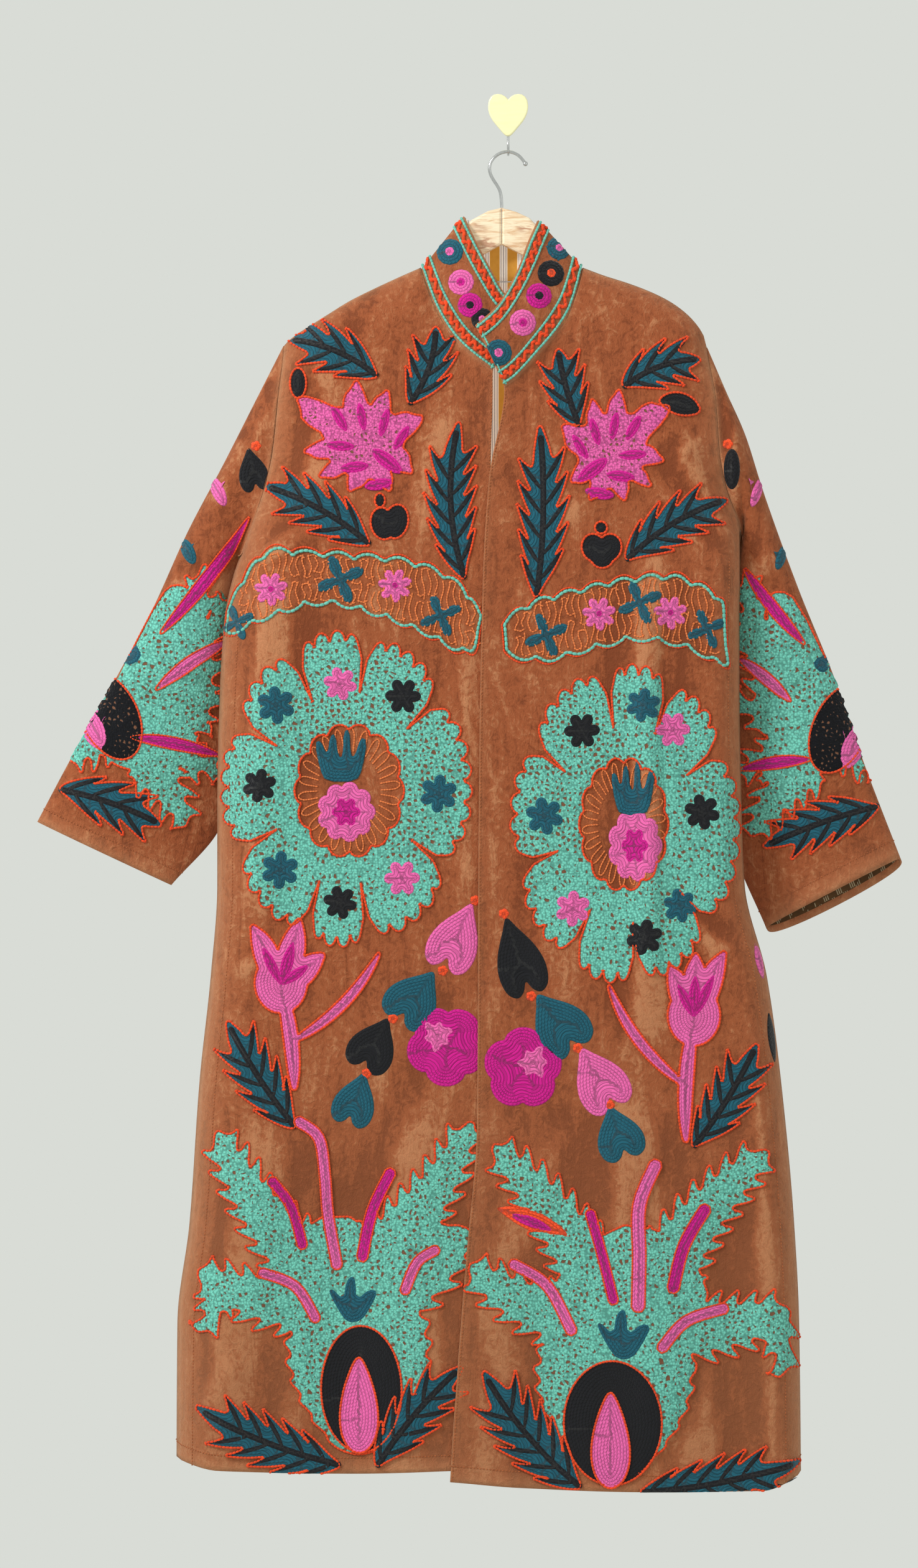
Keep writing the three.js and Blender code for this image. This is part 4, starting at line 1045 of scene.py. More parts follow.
def fill(panel, shapes, finish, outline="orange", lift=0.0, puff=1.1, step=2.8, cuts=(), target=None,
         size=1.0):
    if isinstance(shapes, np.ndarray):
        shapes = [shapes]
    flat, tris, away, along, loops = region(shapes, cuts, step)
    rise = 0.12 + lift + puff * (1 - np.exp(-((away / 1.6) ** 2)))
    spots, _, missed = project(target or panel, flat, rise)
    tris = tris[~missed[tris].all(1)]
    fills.setdefault(panel, []).append((spots, tris, np.stack([along, away], -1) * mm, finish))
    if outline:
        for loop in loops:
            stitch(panel, loop, outline, True, lift + 0.55, size, target)
    return loops


def stitch(panel, points, colour, closed=False, lift=0.2, size=1.0, target=None, link=3.5):
    p = resample(points, link * size, closed)
    if len(p) < 3:
        return
    spots, normals, missed = project(target or panel, p, np.full(len(p), lift))
    if closed:
        tangent = np.roll(spots, -1, 0) - np.roll(spots, 1, 0)
    else:
        tangent = np.gradient(spots, axis=0)
    lines.setdefault((panel, colour), []).append((spots[~missed], tangent[~missed], normals[~missed], size))


def run(panel, points, normals, at, colour, size, lift):  # stitches along a line that lies on a surface
    length = runningLength(points)
    spots = np.stack([np.interp(at, length, points[:, k]) for k in range(3)], -1)
    facing = np.stack([np.interp(at, length, normals[:, k]) for k in range(3)], -1)
    spots = (spots + facing * lift) * mm
    lines.setdefault((panel, colour), []).append((spots, np.gradient(spots, axis=0), facing, size))


def leaves(panel, base, tip, width, bend=0.0, lift=0.0):
    fill(panel, leaf(base, tip, width, bend), "teal", lift=lift, step=2.6)
    fill(panel, vein(base, tip, width, bend), "black", None, lift=lift + 1.1, puff=0.6, step=2.0)


def knots(panel, spots):
    for x, z in spots:
        fill(panel, flower((x, z), 5.4, 5, 0.2), "orange", None, puff=1.3, step=1.8)


def hearts(panel, rows):
    for x, z, width, height, turn, finish in rows:
        fill(panel, heart((x, z), width, height, turn), finish, None)


def thinLine(panel, points, size=0.72):
    stitch(panel, points, "copper", False, 0.16, size)


def cloudBand(panel, top, bottom, pinks, teals):
    upper, lower = spline(top[::2] + top[-1:], False, 16), spline(bottom[::2] + bottom[-1:], False, 16)
    for edge, way in ((upper, 1), (lower, -1)):  # scallops
        length = runningLength(edge)
        count = round(length[-1] / 29)
        edge[:, 1] += way * 6.5 * (np.abs(np.sin(length / length[-1] * math.pi * count)) ** 0.8 - 0.6)
    outline = np.concatenate([upper, lower[::-1]])
    stitch(panel, outline, "aqua", True, 0.3, 1.35)
    grown = outline + (outline - outline.mean(0)) * np.array([0.022, 0.075])
    stitch(panel, grown, "orange", True, 0.2, 0.8)
    for k, x in enumerate(np.arange(upper[:, 0].min() + 12, upper[:, 0].max() - 8, 6.2)):
        high = np.interp(x, upper[:, 0], upper[:, 1]) - 5
        low = np.interp(x, np.sort(lower[:, 0]), lower[np.argsort(lower[:, 0]), 1]) + 5
        if high - low < 16:
            continue
        middle = (high + low) / 2 + 4 * math.sin(k * 1.7)
        for a, b in ((high, middle + 4), (middle - 4, low)):
            zs = np.linspace(a, b, 9)
            xs = x + 1.6 * np.sin(np.linspace(0, 5, 9) + k)
            thinLine(panel, np.stack([xs, zs], -1))
            start, z, dip = (xs[-1], b, -1.5) if k % 2 == (a != high) else (xs[0], a, 1.5)
            thinLine(panel, [(start, z), (x + 3.1, z + dip), (x + 6.2, z)])  # the turn to the next line
    for x, z, r in pinks:
        fill(panel, flower((x, z), r, 7, 0.44, 0.3), "pink", None, lift=0.3, puff=1.2, step=2.2)
        fill(panel, flower((x, z), r * 0.3, 5, 0.2), "magenta", None, lift=1.1, puff=0.6, step=1.8)
    for x, z, r in teals:
        fill(panel, fourPoint((x, z), r), "teal", None, lift=0.3, puff=1.2, step=2.2)


def rosette(panel, centre, width, height, slits, hole, crown, heartOf, smalls):
    x, z = hole[:2]
    middle = flower((x, z), 1, 14, 0.10)
    middle = (middle - np.array([x, z])) * np.array(hole[2:]) + np.array([x, z])
    fill(panel, lobed(centre, width, height, slits), "aquaNet", step=3.4, cuts=[middle])
    for k in range(22):  # thin loops between the ring and its middle
        a = k / 22 * tau + 0.1
        out, inn, side = 0.93, 0.60, 0.085
        p = [(inn, a - side), (out * 0.9, a - side * 0.8), (out, a), (out * 0.9, a + side * 0.8),
             (inn, a + side)]
        loop = [(x + hole[2] * r * math.cos(b), z + hole[3] * r * math.sin(b)) for r, b in p]
        thinLine(panel, spline(loop, False, 4), 0.7)
    cx, cz, cw, ch = crown
    shape = [(-0.52, 0.52), (-0.40, 0.62), (-0.27, 0.05), (-0.22, 0.78), (-0.11, 0.86), (-0.05, 0.0),
             (0.03, 0.0), (0.05, 0.96), (0.17, 1.0), (0.19, 0.05), (0.27, 0.02), (0.38, 0.72), (0.52, 0.62),
             (0.42, -0.45), (0.3, -0.9), (-0.3, -0.9), (-0.42, -0.45)]
    fill(panel, soften([(cx + a * cw, cz + b * ch) for a, b in shape]), "teal", None, 0.9, step=2.2)
    spot, size = np.array(heartOf[:2]), np.array(heartOf[2:])
    fill(panel, flower((0, 0), 1, 9, 0.16) * size + spot, "pink", None, *layers["middle"])
    fill(panel, flower((0, 0), 1, 6, 0.30) * size * 0.52 + spot, "magenta", None, *layers["eye"])
    for sx, sz, r, finish in smalls:
        fill(panel, flower((sx, sz), r, 6, 0.40, 0.3 + sx), finish, None, *layers["small"])


def tulip(panel, centre, tips, stem, branch, flip):
    x, z = centre
    left, middle, right = tips
    petals = [
        blade((x - 4, z - 26), left, 25, -0.10, 0.62),
        blade((x, z - 26), middle, 27, 0.0, 0.62),
        blade((x + 4, z - 26), right, 25, 0.10, 0.62),
        oval((x, z - 14), 26, 30),
    ]
    stalk = blade((x, z - 18), stem, 15, 0.06 * flip, 0.35)
    side = blade((x + (stem[0] - x) * 0.62, z + (stem[1] - z) * 0.62), branch, 11, -0.16 * flip, 0.4)
    fill(panel, petals + [stalk, side], "pink", step=2.6)
    for tip, width in ((left, 11), (middle, 13), (right, 11)):
        a = np.array([x, z - 16.0])
        b = a + (np.array(tip) - a) * 0.66
        fill(panel, blade(a, b, width, 0, 0.6), "magenta", None, *layers["inner"])


def fan(panel, arms, yoke, bodyShape, seedOval, seedDrop, crown, strokes):
    fill(panel, [frond(*a) for a in arms] + [soften(yoke), bodyShape], "aquaNet", step=3.4)
    fill(panel, oval(*seedOval), "black", "orange", *layers["seed"])
    fill(panel, drop(*seedDrop), "pink", "orange", *layers["drop"])
    cx, cz, s = crown
    shape = [(-1.08, 0.52), (-0.86, 0.60), (-0.42, 0.12), (-0.30, 0.90), (-0.02, 1.12), (0.12, 0.92),
             (0.16, 0.12), (0.66, 0.58), (1.06, 0.46), (0.72, -0.24), (0.34, -0.80), (-0.26, -0.86),
             (-0.66, -0.30)]
    fill(panel, soften([(cx + a * s, cz + b * s) for a, b in shape]), "teal", None, *layers["petal"])
    for points, width, finish in strokes:
        fill(panel, ribbon(points, width), finish, "orange", *layers["stroke"], size=0.75)


def toothedBody(centre, top, bottom, half, teeth=9, tooth=9):  # the fan's base, widest in its upper half
    x, sides = centre, []
    for side in (1, -1):
        line = []
        for k in range(teeth):
            for share, grow in ((0.0, 0), (0.55, 1), (0.8, 0.15)):
                t = (k + share) / teeth
                width = half * math.sin(math.pi * (0.18 + 0.78 * t)) ** 0.8
                z = top + (bottom - top) * t + tooth * 0.6 * grow
                line.append((x + side * (width + tooth * grow), z))
        sides.append(line)
    return soften(sides[0] + [(x, bottom)] + sides[1][::-1])


# Flowers of the two fronts

leaves("right_front", (-129, -264), (-216, -226), 32, -0.14)
leaves("right_front", (-98, -292), (-72, -216), 30, -0.16)
star = [(99, 68), (70, 61), (28, 64), (-31, 54), (-62, 52), (-111, 50), (-147, 58), (-175, 64), (145, 86)]
petals = [(-27, 27, 120, 28, 11), (-5, 29, 100, 28, 10), (17, 23, 75, 28, 10), (34, 8, 58, 28, 10),
          (-26, 0, 176, 28, 11), (20, -15, -38, 36, 15), (-12, -21, 6, 28, 12), (12, -38, 10, 28, 12)]


def starFlower(panel, x, z, flip, wide):  # flip -1 mirrors it, wide narrows it
    spikes = sorted((90 + flip * (a - 90)) % 360 for a, _ in star)
    reach = {(90 + flip * (a - 90)) % 360: r for a, r in star}
    shape = (burst((0, 0), [(a, reach[a]) for a in spikes], 0.62)) * np.array([wide, 1]) + np.array([x, z])
    fill(panel, shape, "pinkNet", step=3.0)
    for px, pz, angle, length, width in petals:
        a = math.radians(90 + flip * (angle - 90))
        d = np.array([math.cos(a), math.sin(a)]) * length / 2
        c = np.array([x + flip * wide * px, z + pz])
        fill(panel, blade(c - d, c + d, width, 0, 0.42), "magenta", None, *layers["petal"])


starFlower("right_front", -140, -333, 1, 1.0)
fill("right_front", oval((-208, -270), 8, 15), "black")
leaves("right_front", (-43, -466), (-50, -312), 31, 0.14)
fill("right_front", [oval((-124, -410), 12, 16, 0.2), oval((-111, -408), 12, 17, -0.2)], "black")
fill("right_front", oval((-127, -387), 5, 7), "black", step=2.0)
leaves("right_front", (-136, -431), (-240, -372), 32, -0.10)
cloudBand("right_front",
          [(-276, -492), (-262, -463), (-240, -441), (-214, -447), (-190, -440), (-166, -434), (-140, -443),
           (-112, -438), (-90, -450), (-66, -452), (-50, -470), (-32, -478), (-28, -500)],
          [(-278, -520), (-258, -510), (-232, -500), (-206, -502), (-182, -488), (-156, -502), (-134, -498),
           (-112, -516), (-88, -515), (-66, -532), (-42, -536), (-30, -516)],
          [(-234, -475, 17), (-112, -471, 17)], [(-166, -465, 24), (-67, -501, 21), (-268, -507, 18)])
rosette("right_front", (-160, -671), 124, 156, (38, 80, 116, 154, 205, 250, 281, 328),
        (-157, -673, 54, 66), (-165, -640, 50, 27), (-160, -694, 29, 30), [
            (-166, -568, 17, "pink"), (-104, -580, 18, "black"), (-69, -676, 19, "teal"),
            (-105, -759, 18, "pink"), (-166, -783, 17, "black"), (-225, -751, 19, "teal"),
            (-245, -668, 17, "black"), (-229, -589, 19, "teal")])
tulip("right_front", (-224, -848), ((-252, -806), (-206, -800), (-182, -834)), (-211, -966), (-128, -834), 1)
leaves("right_front", (-209, -1005), (-276, -902), 32, 0.06)
hearts("right_front", ((-52, -819, 50, 68, -0.42, "pink"), (-93, -878, 54, 58, -0.62, "teal"),
                       (-133, -924, 47, 54, -0.48, "black"), (-151, -978, 42, 52, -0.32, "teal")))
knots("right_front", ((-33, -781), (-65, -850), (-114, -897), (-140, -951)))
fill("right_front", flower((-61, -924), 40, 5, 0.17, 0.9, 1.0), "magenta", None)
fill("right_front", burst((-70, -914), ((20, 18), (80, 16), (130, 20), (190, 15), (260, 18), (320, 15))),
     "pink", None, *layers["blossom"])
fan("right_front",
    [((-190, -1150), (-284, -1016), 30, 10, 8, 0.08), ((-138, -1140), (-40, -1006), 30, 9, 8, -0.10),
     ((-180, -1176), (-300, -1150), 30, 12, 6, 0.14), ((-120, -1170), (-48, -1106), 30, 18, 4, -0.14),
     ((-280, -1154), (-300, -1202), 12, 6, 2, 0.1)],
    [(-170, -1084), (-226, -1118), (-222, -1192), (-150, -1215), (-82, -1186), (-117, -1116)],
    toothedBody(-148, -1150, -1326, 66),
    ((-145, -1261), 40, 62), ((-147, -1277), 20, 47), (-153, -1176, 24), [
        (((-169, -1140), (-178, -1090), (-181, -1050), (-187, -1014), (-207, -998)), 11, "pink"),
        (((-233, -1056), (-214, -1082), (-203, -1120)), 10, "magenta"),
        (((-116, -1048), (-134, -1086), (-144, -1132)), 11, "magenta"),
        (((-243, -1146), (-210, -1160), (-190, -1192)), 10, "pink"),
        (((-72, -1124), (-90, -1136), (-102, -1164)), 10, "pink")])
leaves("right_front", (-164, -1336), (-304, -1280), 34, 0.08, 1.0)
leaves("right_front", (-130, -1338), (-48, -1240), 32, 0.08, 1.0)
print("right front drawn")

leaves("left_front", (113, -275), (188, -246), 30, 0.16)
leaves("left_front", (70, -314), (49, -238), 29, 0.06)
starFlower("left_front", 100, -342, -1, 0.86)
leaves("left_front", (27, -485), (31, -316), 31, -0.06)
fill("left_front", [oval((84, -434), 12, 14, 0.3), oval((99, -434), 12, 14, -0.3), oval((92, -442), 12, 12)],
     "black")
fill("left_front", oval((91, -414), 6, 6), "black", step=2.0)
leaves("left_front", (115, -447), (214, -386), 31, 0.12)
fill("left_front", blade((150, -288), (188, -298), 22, 0.1, 0.5), "black")
cloudBand("left_front",
          [(-4, -506), (4, -490), (26, -488), (48, -470), (70, -476), (92, -456), (118, -466), (142, -452),
           (166, -464), (188, -462), (206, -484), (212, -506)],
          [(-2, -538), (14, -556), (34, -544), (56, -548), (78, -534), (100, -540), (124, -524), (146, -534),
           (170, -530), (192, -556), (212, -548), (213, -530)],
          [(89, -499, 17), (159, -498, 17)], [(37, -520, 22), (129, -488, 22), (195, -514, 20)])
rosette("left_front", (115, -706), 114, 158, (30, 66, 100, 148, 196, 240, 276, 318),
        (113, -706, 44, 66), (122, -672, 42, 28), (124, -727, 27, 36), [
            (72, -614, 18, "black"), (132, -589, 17, "teal"), (161, -613, 18, "pink"),
            (190, -694, 18, "black"), (168, -786, 17, "teal"), (133, -817, 18, "black"),
            (63, -789, 18, "pink"), (35, -698, 19, "teal")])
tulip("left_front", (182, -880), ((158, -846), (184, -834), (212, -832)), (174, -1017), (99, -866), -1)
leaves("left_front", (181, -1024), (243, -924), 31, -0.06)
hearts("left_front", ((10, -839, 48, 76, 0.30, "black"), (49, -903, 56, 64, 0.62, "teal"),
                      (89, -958, 52, 66, 0.52, "pink"), (108, -1011, 47, 52, 0.32, "teal")))
knots("left_front", ((-5, -794), (22, -875), (68, -926), (99, -982)))
fill("left_front", flower((14, -946), 39, 5, 0.17, 0.3, 1.04), "magenta", None)
fill("left_front", burst((24, -940), ((0, 16), (60, 20), (120, 15), (180, 18), (240, 16), (300, 19))),
     "pink", None, *layers["blossom"])
fan("left_front",
    [((88, -1160), (-10, -1028), 30, 10, 8, -0.08), ((146, -1160), (248, -1032), 32, 10, 8, 0.10),
     ((80, -1196), (-34, -1144), 30, 11, 6, 0.14), ((150, -1200), (270, -1186), 32, 13, 6, -0.10),
     ((258, -1184), (270, -1242), 13, 7, 2, 0.1)],
    [(130, -1092), (66, -1122), (22, -1196), (110, -1240), (182, -1236), (200, -1144)],
    toothedBody(104, -1178, -1350, 73), ((102, -1294), 48, 61), ((100, -1311), 20, 47), (113, -1210, 26), [
        (((127, -1180), (128, -1130), (128, -1080), (144, -1040)), 13, "pink"),
        (((80, -1088), (92, -1130), (103, -1174)), 10, "magenta"),
        (((193, -1084), (172, -1120), (161, -1162)), 12, "magenta"),
        (((4, -1138), (38, -1160), (62, -1204)), 11, "pink"),
        (((212, -1182), (174, -1194), (150, -1220)), 11, "pink")])
fill("left_front", blade((-10, -1084), (62, -1112), 22, 0.06, 0.7), "orange", None, 0.2)
fill("left_front", blade((0, -1089), (44, -1106), 11, 0.04, 0.7), "magenta", None, 1.1, 0.8, 2.2)
leaves("left_front", (72, -1358), (-24, -1246), 38, 0.10, 1.0)
# petals of the back's flowers that run over the side seam
for start, end, finish in (((243.5, -824), (251, -858), "pink"), ((256.5, -893), (262.5, -940), "black")):
    fill("left_front", blade(start, end, 8, 0.0, 0.6), finish, None, step=1.8)
leaves("left_front", (128, -1362), (284, -1334), 32, -0.06, 1.0)
print("left front drawn")


def edgeBuds(panel, rows):  # small flowers near the sleeve's outer edge
    for centre, width, height, turn, finish in rows:
        fill(panel, oval(centre, width, height, turn), finish, None, step=2.2)


def sleeveFan(panel, arms, ball, yoke, strokes, seed, seedHeart, bud):
    *upper, last = arms
    shapes = [frond(*a) for a in upper] + [oval(*ball), soften(yoke), frond(*last)]
    fill(panel, shapes, "aquaNet", step=3.4)
    for start, end, width, bend, finish in strokes:
        fill(panel, blade(start, end, width, bend, 0.5), finish, "orange", *layers["stroke"], size=0.8)
    fill(panel, oval(*seed), "blackNet", "orange", 0.9)
    fill(panel, oval(*seedHeart), "pink", None, 1.0)
    fill(panel, oval(*bud), "teal", None, 0.4)


hearts("right_sleeve", ((-253, -357, 30, 42, 0.2, "black"),))
edgeBuds("right_sleeve", (((-288, -376), 6.5, 17, 0.45, "pink"), ((-317.5, -436), 6.5, 14, 0.45, "teal")))
knots("right_sleeve", ((-250, -332),))
sleeveFan("right_sleeve",
          [((-356, -640), (-302, -458), 30, 5, 8, -0.08), ((-352, -600), (-274, -486), 22, 6, 5, 0.05),
           ((-350, -612), (-286, -546), 20, 5, 3, 0.0), ((-356, -620), (-286, -580), 18, 5, 3, 0.0),
           ((-362, -622), (-300, -608), 20, 5, 3, 0.0), ((-372, -625), (-290, -654), 22, 5, 4, 0.05),
           ((-364, -640), (-322, -704), 24, 7, 4, 0.1), ((-400, -612), (-436, -640), 26, 9, 3, 0.0)],
          ((-385, -592), 42, 64, 0.45),
          [(-330, -468), (-344, -478), (-376, -540), (-400, -590), (-350, -610), (-322, -520), (-312, -474)],
          (((-343, -516), (-258, -405), 13, -0.05, "magenta"), ((-348, -572), (-279, -524), 13, 0.05, "pink"),
           ((-372, -620), (-287, -638), 12, 0.05, "magenta")),
          ((-395, -599), 28, 46, 0.45), ((-411, -610), 13, 25, 0.45), ((-372, -540), 12, 9, 0.9))
leaves("right_sleeve", (-446, -672), (-346, -706), 31, 0.08)
edgeBuds("left_sleeve", (((221, -355), 8, 20, 0.0, "black"), ((246.5, -377), 5, 16, -0.35, "pink"),
                         ((270.5, -442), 5, 13, -0.35, "teal")))
knots("left_sleeve", ((217, -330),))
sleeveFan("left_sleeve",
          [((296, -640), (236, -464), 28, 5, 8, 0.08), ((290, -600), (226, -516), 20, 5, 4, -0.05),
           ((290, -615), (226, -582), 20, 5, 3, 0.0), ((298, -630), (230, -654), 22, 5, 4, -0.05),
           ((300, -645), (244, -714), 24, 7, 5, -0.1), ((330, -620), (366, -652), 24, 9, 3, 0.0)],
          ((314, -598), 40, 62, -0.4),
          [(268, -474), (286, -484), (326, -566), (306, -606), (270, -560), (252, -484)],
          (((292, -527), (235, -454), 12, 0.05, "magenta"), ((279, -584), (230, -542), 12, -0.05, "pink"),
           ((298, -642), (232, -652), 12, -0.05, "magenta")),
          ((328, -612), 27, 46, -0.4), ((341, -628), 13, 25, -0.4), ((310, -548), 10, 9, -0.9))
leaves("left_sleeve", (368, -688), (256, -728), 30, -0.06)
print("sleeves drawn")

collarDiscs = {  # place, radius, colour of the disc and of its middle
    "collar_right": ((-58, -139, 14.5, "teal", "pink"), (-47, -170, 14, "pink", "magenta"),
                     (-38, -193, 13.5, "magenta", "black"), (-26, -207, 12, "black", "pink")),
    "collar_left": ((50, -135, 13, "teal", "pink"), (42, -161, 14.5, "black", "orange"),
                    (30, -184, 14, "magenta", "black"), (14, -211, 14.5, "pink", "magenta"),
                    (-10, -241, 14.5, "teal", "pink")),
}
for half, discs in collarDiscs.items():
    for x, z, r, disc, eye in discs:
        fill("collar", flower((x, z), r * 0.92, 12, 0.04), disc, None, *layers["disc"], target=half)
        fill("collar", flower((x, z), r * 0.36, 7, 0.15), eye, None, *layers["discEye"], target=half)


def collarRun(u, b, colour, size=0.8):
    p = collarPoint(u, b)
    across = collarPoint(u, np.minimum(b + 0.02, 1)) - collarPoint(u, np.maximum(b - 0.02, 0))
    along = np.gradient(p, axis=0)
    normal = np.cross(along, across)
    normal /= np.linalg.norm(normal, axis=1)[:, None]
    side = np.where((u > 1) & (u < 2), 1, -1)
    flipped = np.sign(normal[:, 1] * side + 1e-6)
    whole = runningLength(p)[-1]
    at = np.linspace(0, whole, int(whole / (3.3 * size)))
    run("collar", p, normal * flipped[:, None], at, colour, size, 0.4)


us = np.linspace(0.02, 2.98, 900)
for edge, flip in ((0.0, 1), (1.0, -1)):
    collarRun(us, np.full(900, edge + flip * 0.045), "aqua", 1.1)
    collarRun(us, np.full(900, edge + flip * 0.215), "aqua", 1.1)
    wave = 0.13 + 0.045 * np.abs((us * 26) % 2 - 1) * 2 - 0.045
    collarRun(us, edge + flip * wave, "orange", 1.4)
    collarRun(us, edge + flip * (wave + 0.014), "orange", 1.2)
bs = np.linspace(0.03, 0.97, 60)
for u in (0.03, 2.97):
    collarRun(np.full(60, u), bs, "aqua")
print("collar drawn")

# The back repeats the fronts' flowers, mirrored about its middle
backMiddle = -14
rosette("back", (backMiddle, -640), 150, 170, (22, 67, 112, 158, 202, 248, 292, 338),
        (backMiddle, -640, 62, 74), (backMiddle, -604, 52, 30), (backMiddle, -664, 32, 32), [
            (backMiddle, -520, 19, "pink"), (60, -552, 20, "black"), (96, -640, 20, "teal"),
            (60, -736, 20, "pink"), (backMiddle, -764, 19, "black"), (-88, -736, 20, "teal"),
            (-124, -640, 19, "black"), (-88, -552, 20, "teal")])

def backHalf(f):  # f is -1 for one half and 1 for the other
    def at(x, z):
        return backMiddle + f * x, z

    leaves("back", at(100, -274), at(186, -242), 30, -0.10 * f)
    leaves("back", at(40, -304), at(26, -216), 28, -0.1 * f)
    leaves("back", at(96, -430), at(196, -374), 30, 0.06 * f)
    starFlower("back", *at(100, -336), -f, 1.0)
    tulip("back", at(190, -868), (at(216, -826), at(190, -820), at(164, -836)),
          at(182, -1000), at(110, -850), -f)
    leaves("back", at(184, -1010), at(256, -920), 30, -0.08 * f)
    for x, z, finish in ((40, -850, "pink"), (74, -908, "teal"), (110, -962, "black")):
        fill("back", heart(at(x, z), 50, 60, f * 0.45), finish, None, step=3.2)
    knots("back", (at(26, -812), at(56, -880), at(94, -936)))
    fan("back", [(at(132, -1160), at(40, -1024), 30, 10, 8, f * 0.12),
                 (at(156, -1160), at(254, -1044), 30, 10, 8, -f * 0.14),
                 (at(130, -1196), at(30, -1146), 28, 11, 6, -f * 0.1),
                 (at(156, -1200), at(266, -1186), 28, 11, 6, -f * 0.1)],
        [at(144, -1100), at(90, -1134), at(66, -1190), at(142, -1240),
         at(216, -1196), at(204, -1134)],
        toothedBody(at(142, 0)[0], -1166, -1336, 68),
        (at(142, -1262), 42, 60), (at(142, -1276), 19, 44), (*at(142, -1180), 17), [
            ((at(142, -1170), at(140, -1100), at(156, -1044)), 12, "pink"),
            ((at(100, -1080), at(114, -1120), at(122, -1160)), 10, "magenta"),
            ((at(208, -1090), at(184, -1120), at(172, -1160)), 10, "magenta")])


for f in (-1, 1):
    backHalf(f)
print("back drawn")


# Topstitching along the edges

topstitch = {"colour": "tan", "size": 0.5, "lift": 0.1}
# rows and columns of a panel's grid that the stitches follow
hemRow, frontEdge, sideEdge, underArm = -4, 2, -4, 62


def surfaceRun(panel, points, normals, pitch=3.2):
    run(panel, points, normals, np.arange(0, runningLength(points)[-1], pitch), **topstitch)


def gridNormals(grid, away):
    du, dv = np.gradient(grid, axis=1), np.gradient(grid, axis=0)
    normal = np.cross(du, dv)
    normal /= np.maximum(np.linalg.norm(normal, axis=-1), 1e-9)[..., None]
    return normal * np.sign((normal * np.array(away)).sum(-1) + 1e-6)[..., None]


def fromMiddle(grid):  # directions outwards from the middle of each ring of a sleeve
    out = grid - grid.mean(1, keepdims=True)
    return out / np.maximum(np.linalg.norm(out, axis=-1), 1e-9)[..., None]


for panel, away in (("right_front", (0, -1, 0)), ("left_front", (0, -1, 0)), ("back", (0, 1, 0))):
    grid = grids[panel]
    normals = gridNormals(grid, away)
    surfaceRun(panel, grid[hemRow], normals[hemRow])
    if panel != "back":
        surfaceRun(panel, grid[4:, frontEdge], normals[4:, frontEdge])
        surfaceRun(panel, grid[underArm:, sideEdge], normals[underArm:, sideEdge])
for panel in ("right_sleeve", "left_sleeve"):
    surfaceRun(panel, grids[panel][hemRow], fromMiddle(grids[panel])[hemRow])
print("topstitching drawn")


# Making the flowers and stitches

def fillObject(panel):
    points, faces, uvs, slots, base = [], [], [], [], 0
    for spots, tris, uv, finish in fills[panel]:
        points.append(spots)
        faces.append(tris + base)
        uvs.append(uv)
        slots += [finishOrder.index(finish)] * len(tris)
        base += len(spots)
    points, faces, uvs = np.concatenate(points), np.concatenate(faces), np.concatenate(uvs)
    a, b, c = points[faces[:, 0]], points[faces[:, 1]], points[faces[:, 2]]
    normal = np.cross(b - a, c - a)
    wrong = normal[:, 1] > 0 if panel != "back" else normal[:, 1] < 0
    faces[wrong] = faces[wrong][:, ::-1]
    mesh = bpy.data.meshes.new(panel + "_embroidery")
    mesh.from_pydata(points.tolist(), [], faces.tolist())
    layer = mesh.uv_layers.new(name="thread")
    loops = np.zeros(len(mesh.loops), np.int32)
    mesh.loops.foreach_get("vertex_index", loops)
    layer.data.foreach_set("uv", uvs[loops].astype(np.float32).reshape(-1))
    mesh.polygons.foreach_set("material_index", np.array(slots, np.int32))
    for finish in finishOrder:
        mesh.materials.append(finishes[finish])
    mesh.shade_smooth()
    piece = bpy.data.objects.new(panel + "_embroidery", mesh)
    scene.collection.objects.link(piece)
    return piece


oneStitch = {"Length": 0.0052, "Width": 0.0028}  # metres, before each stitch's own size
tintSeed = 7


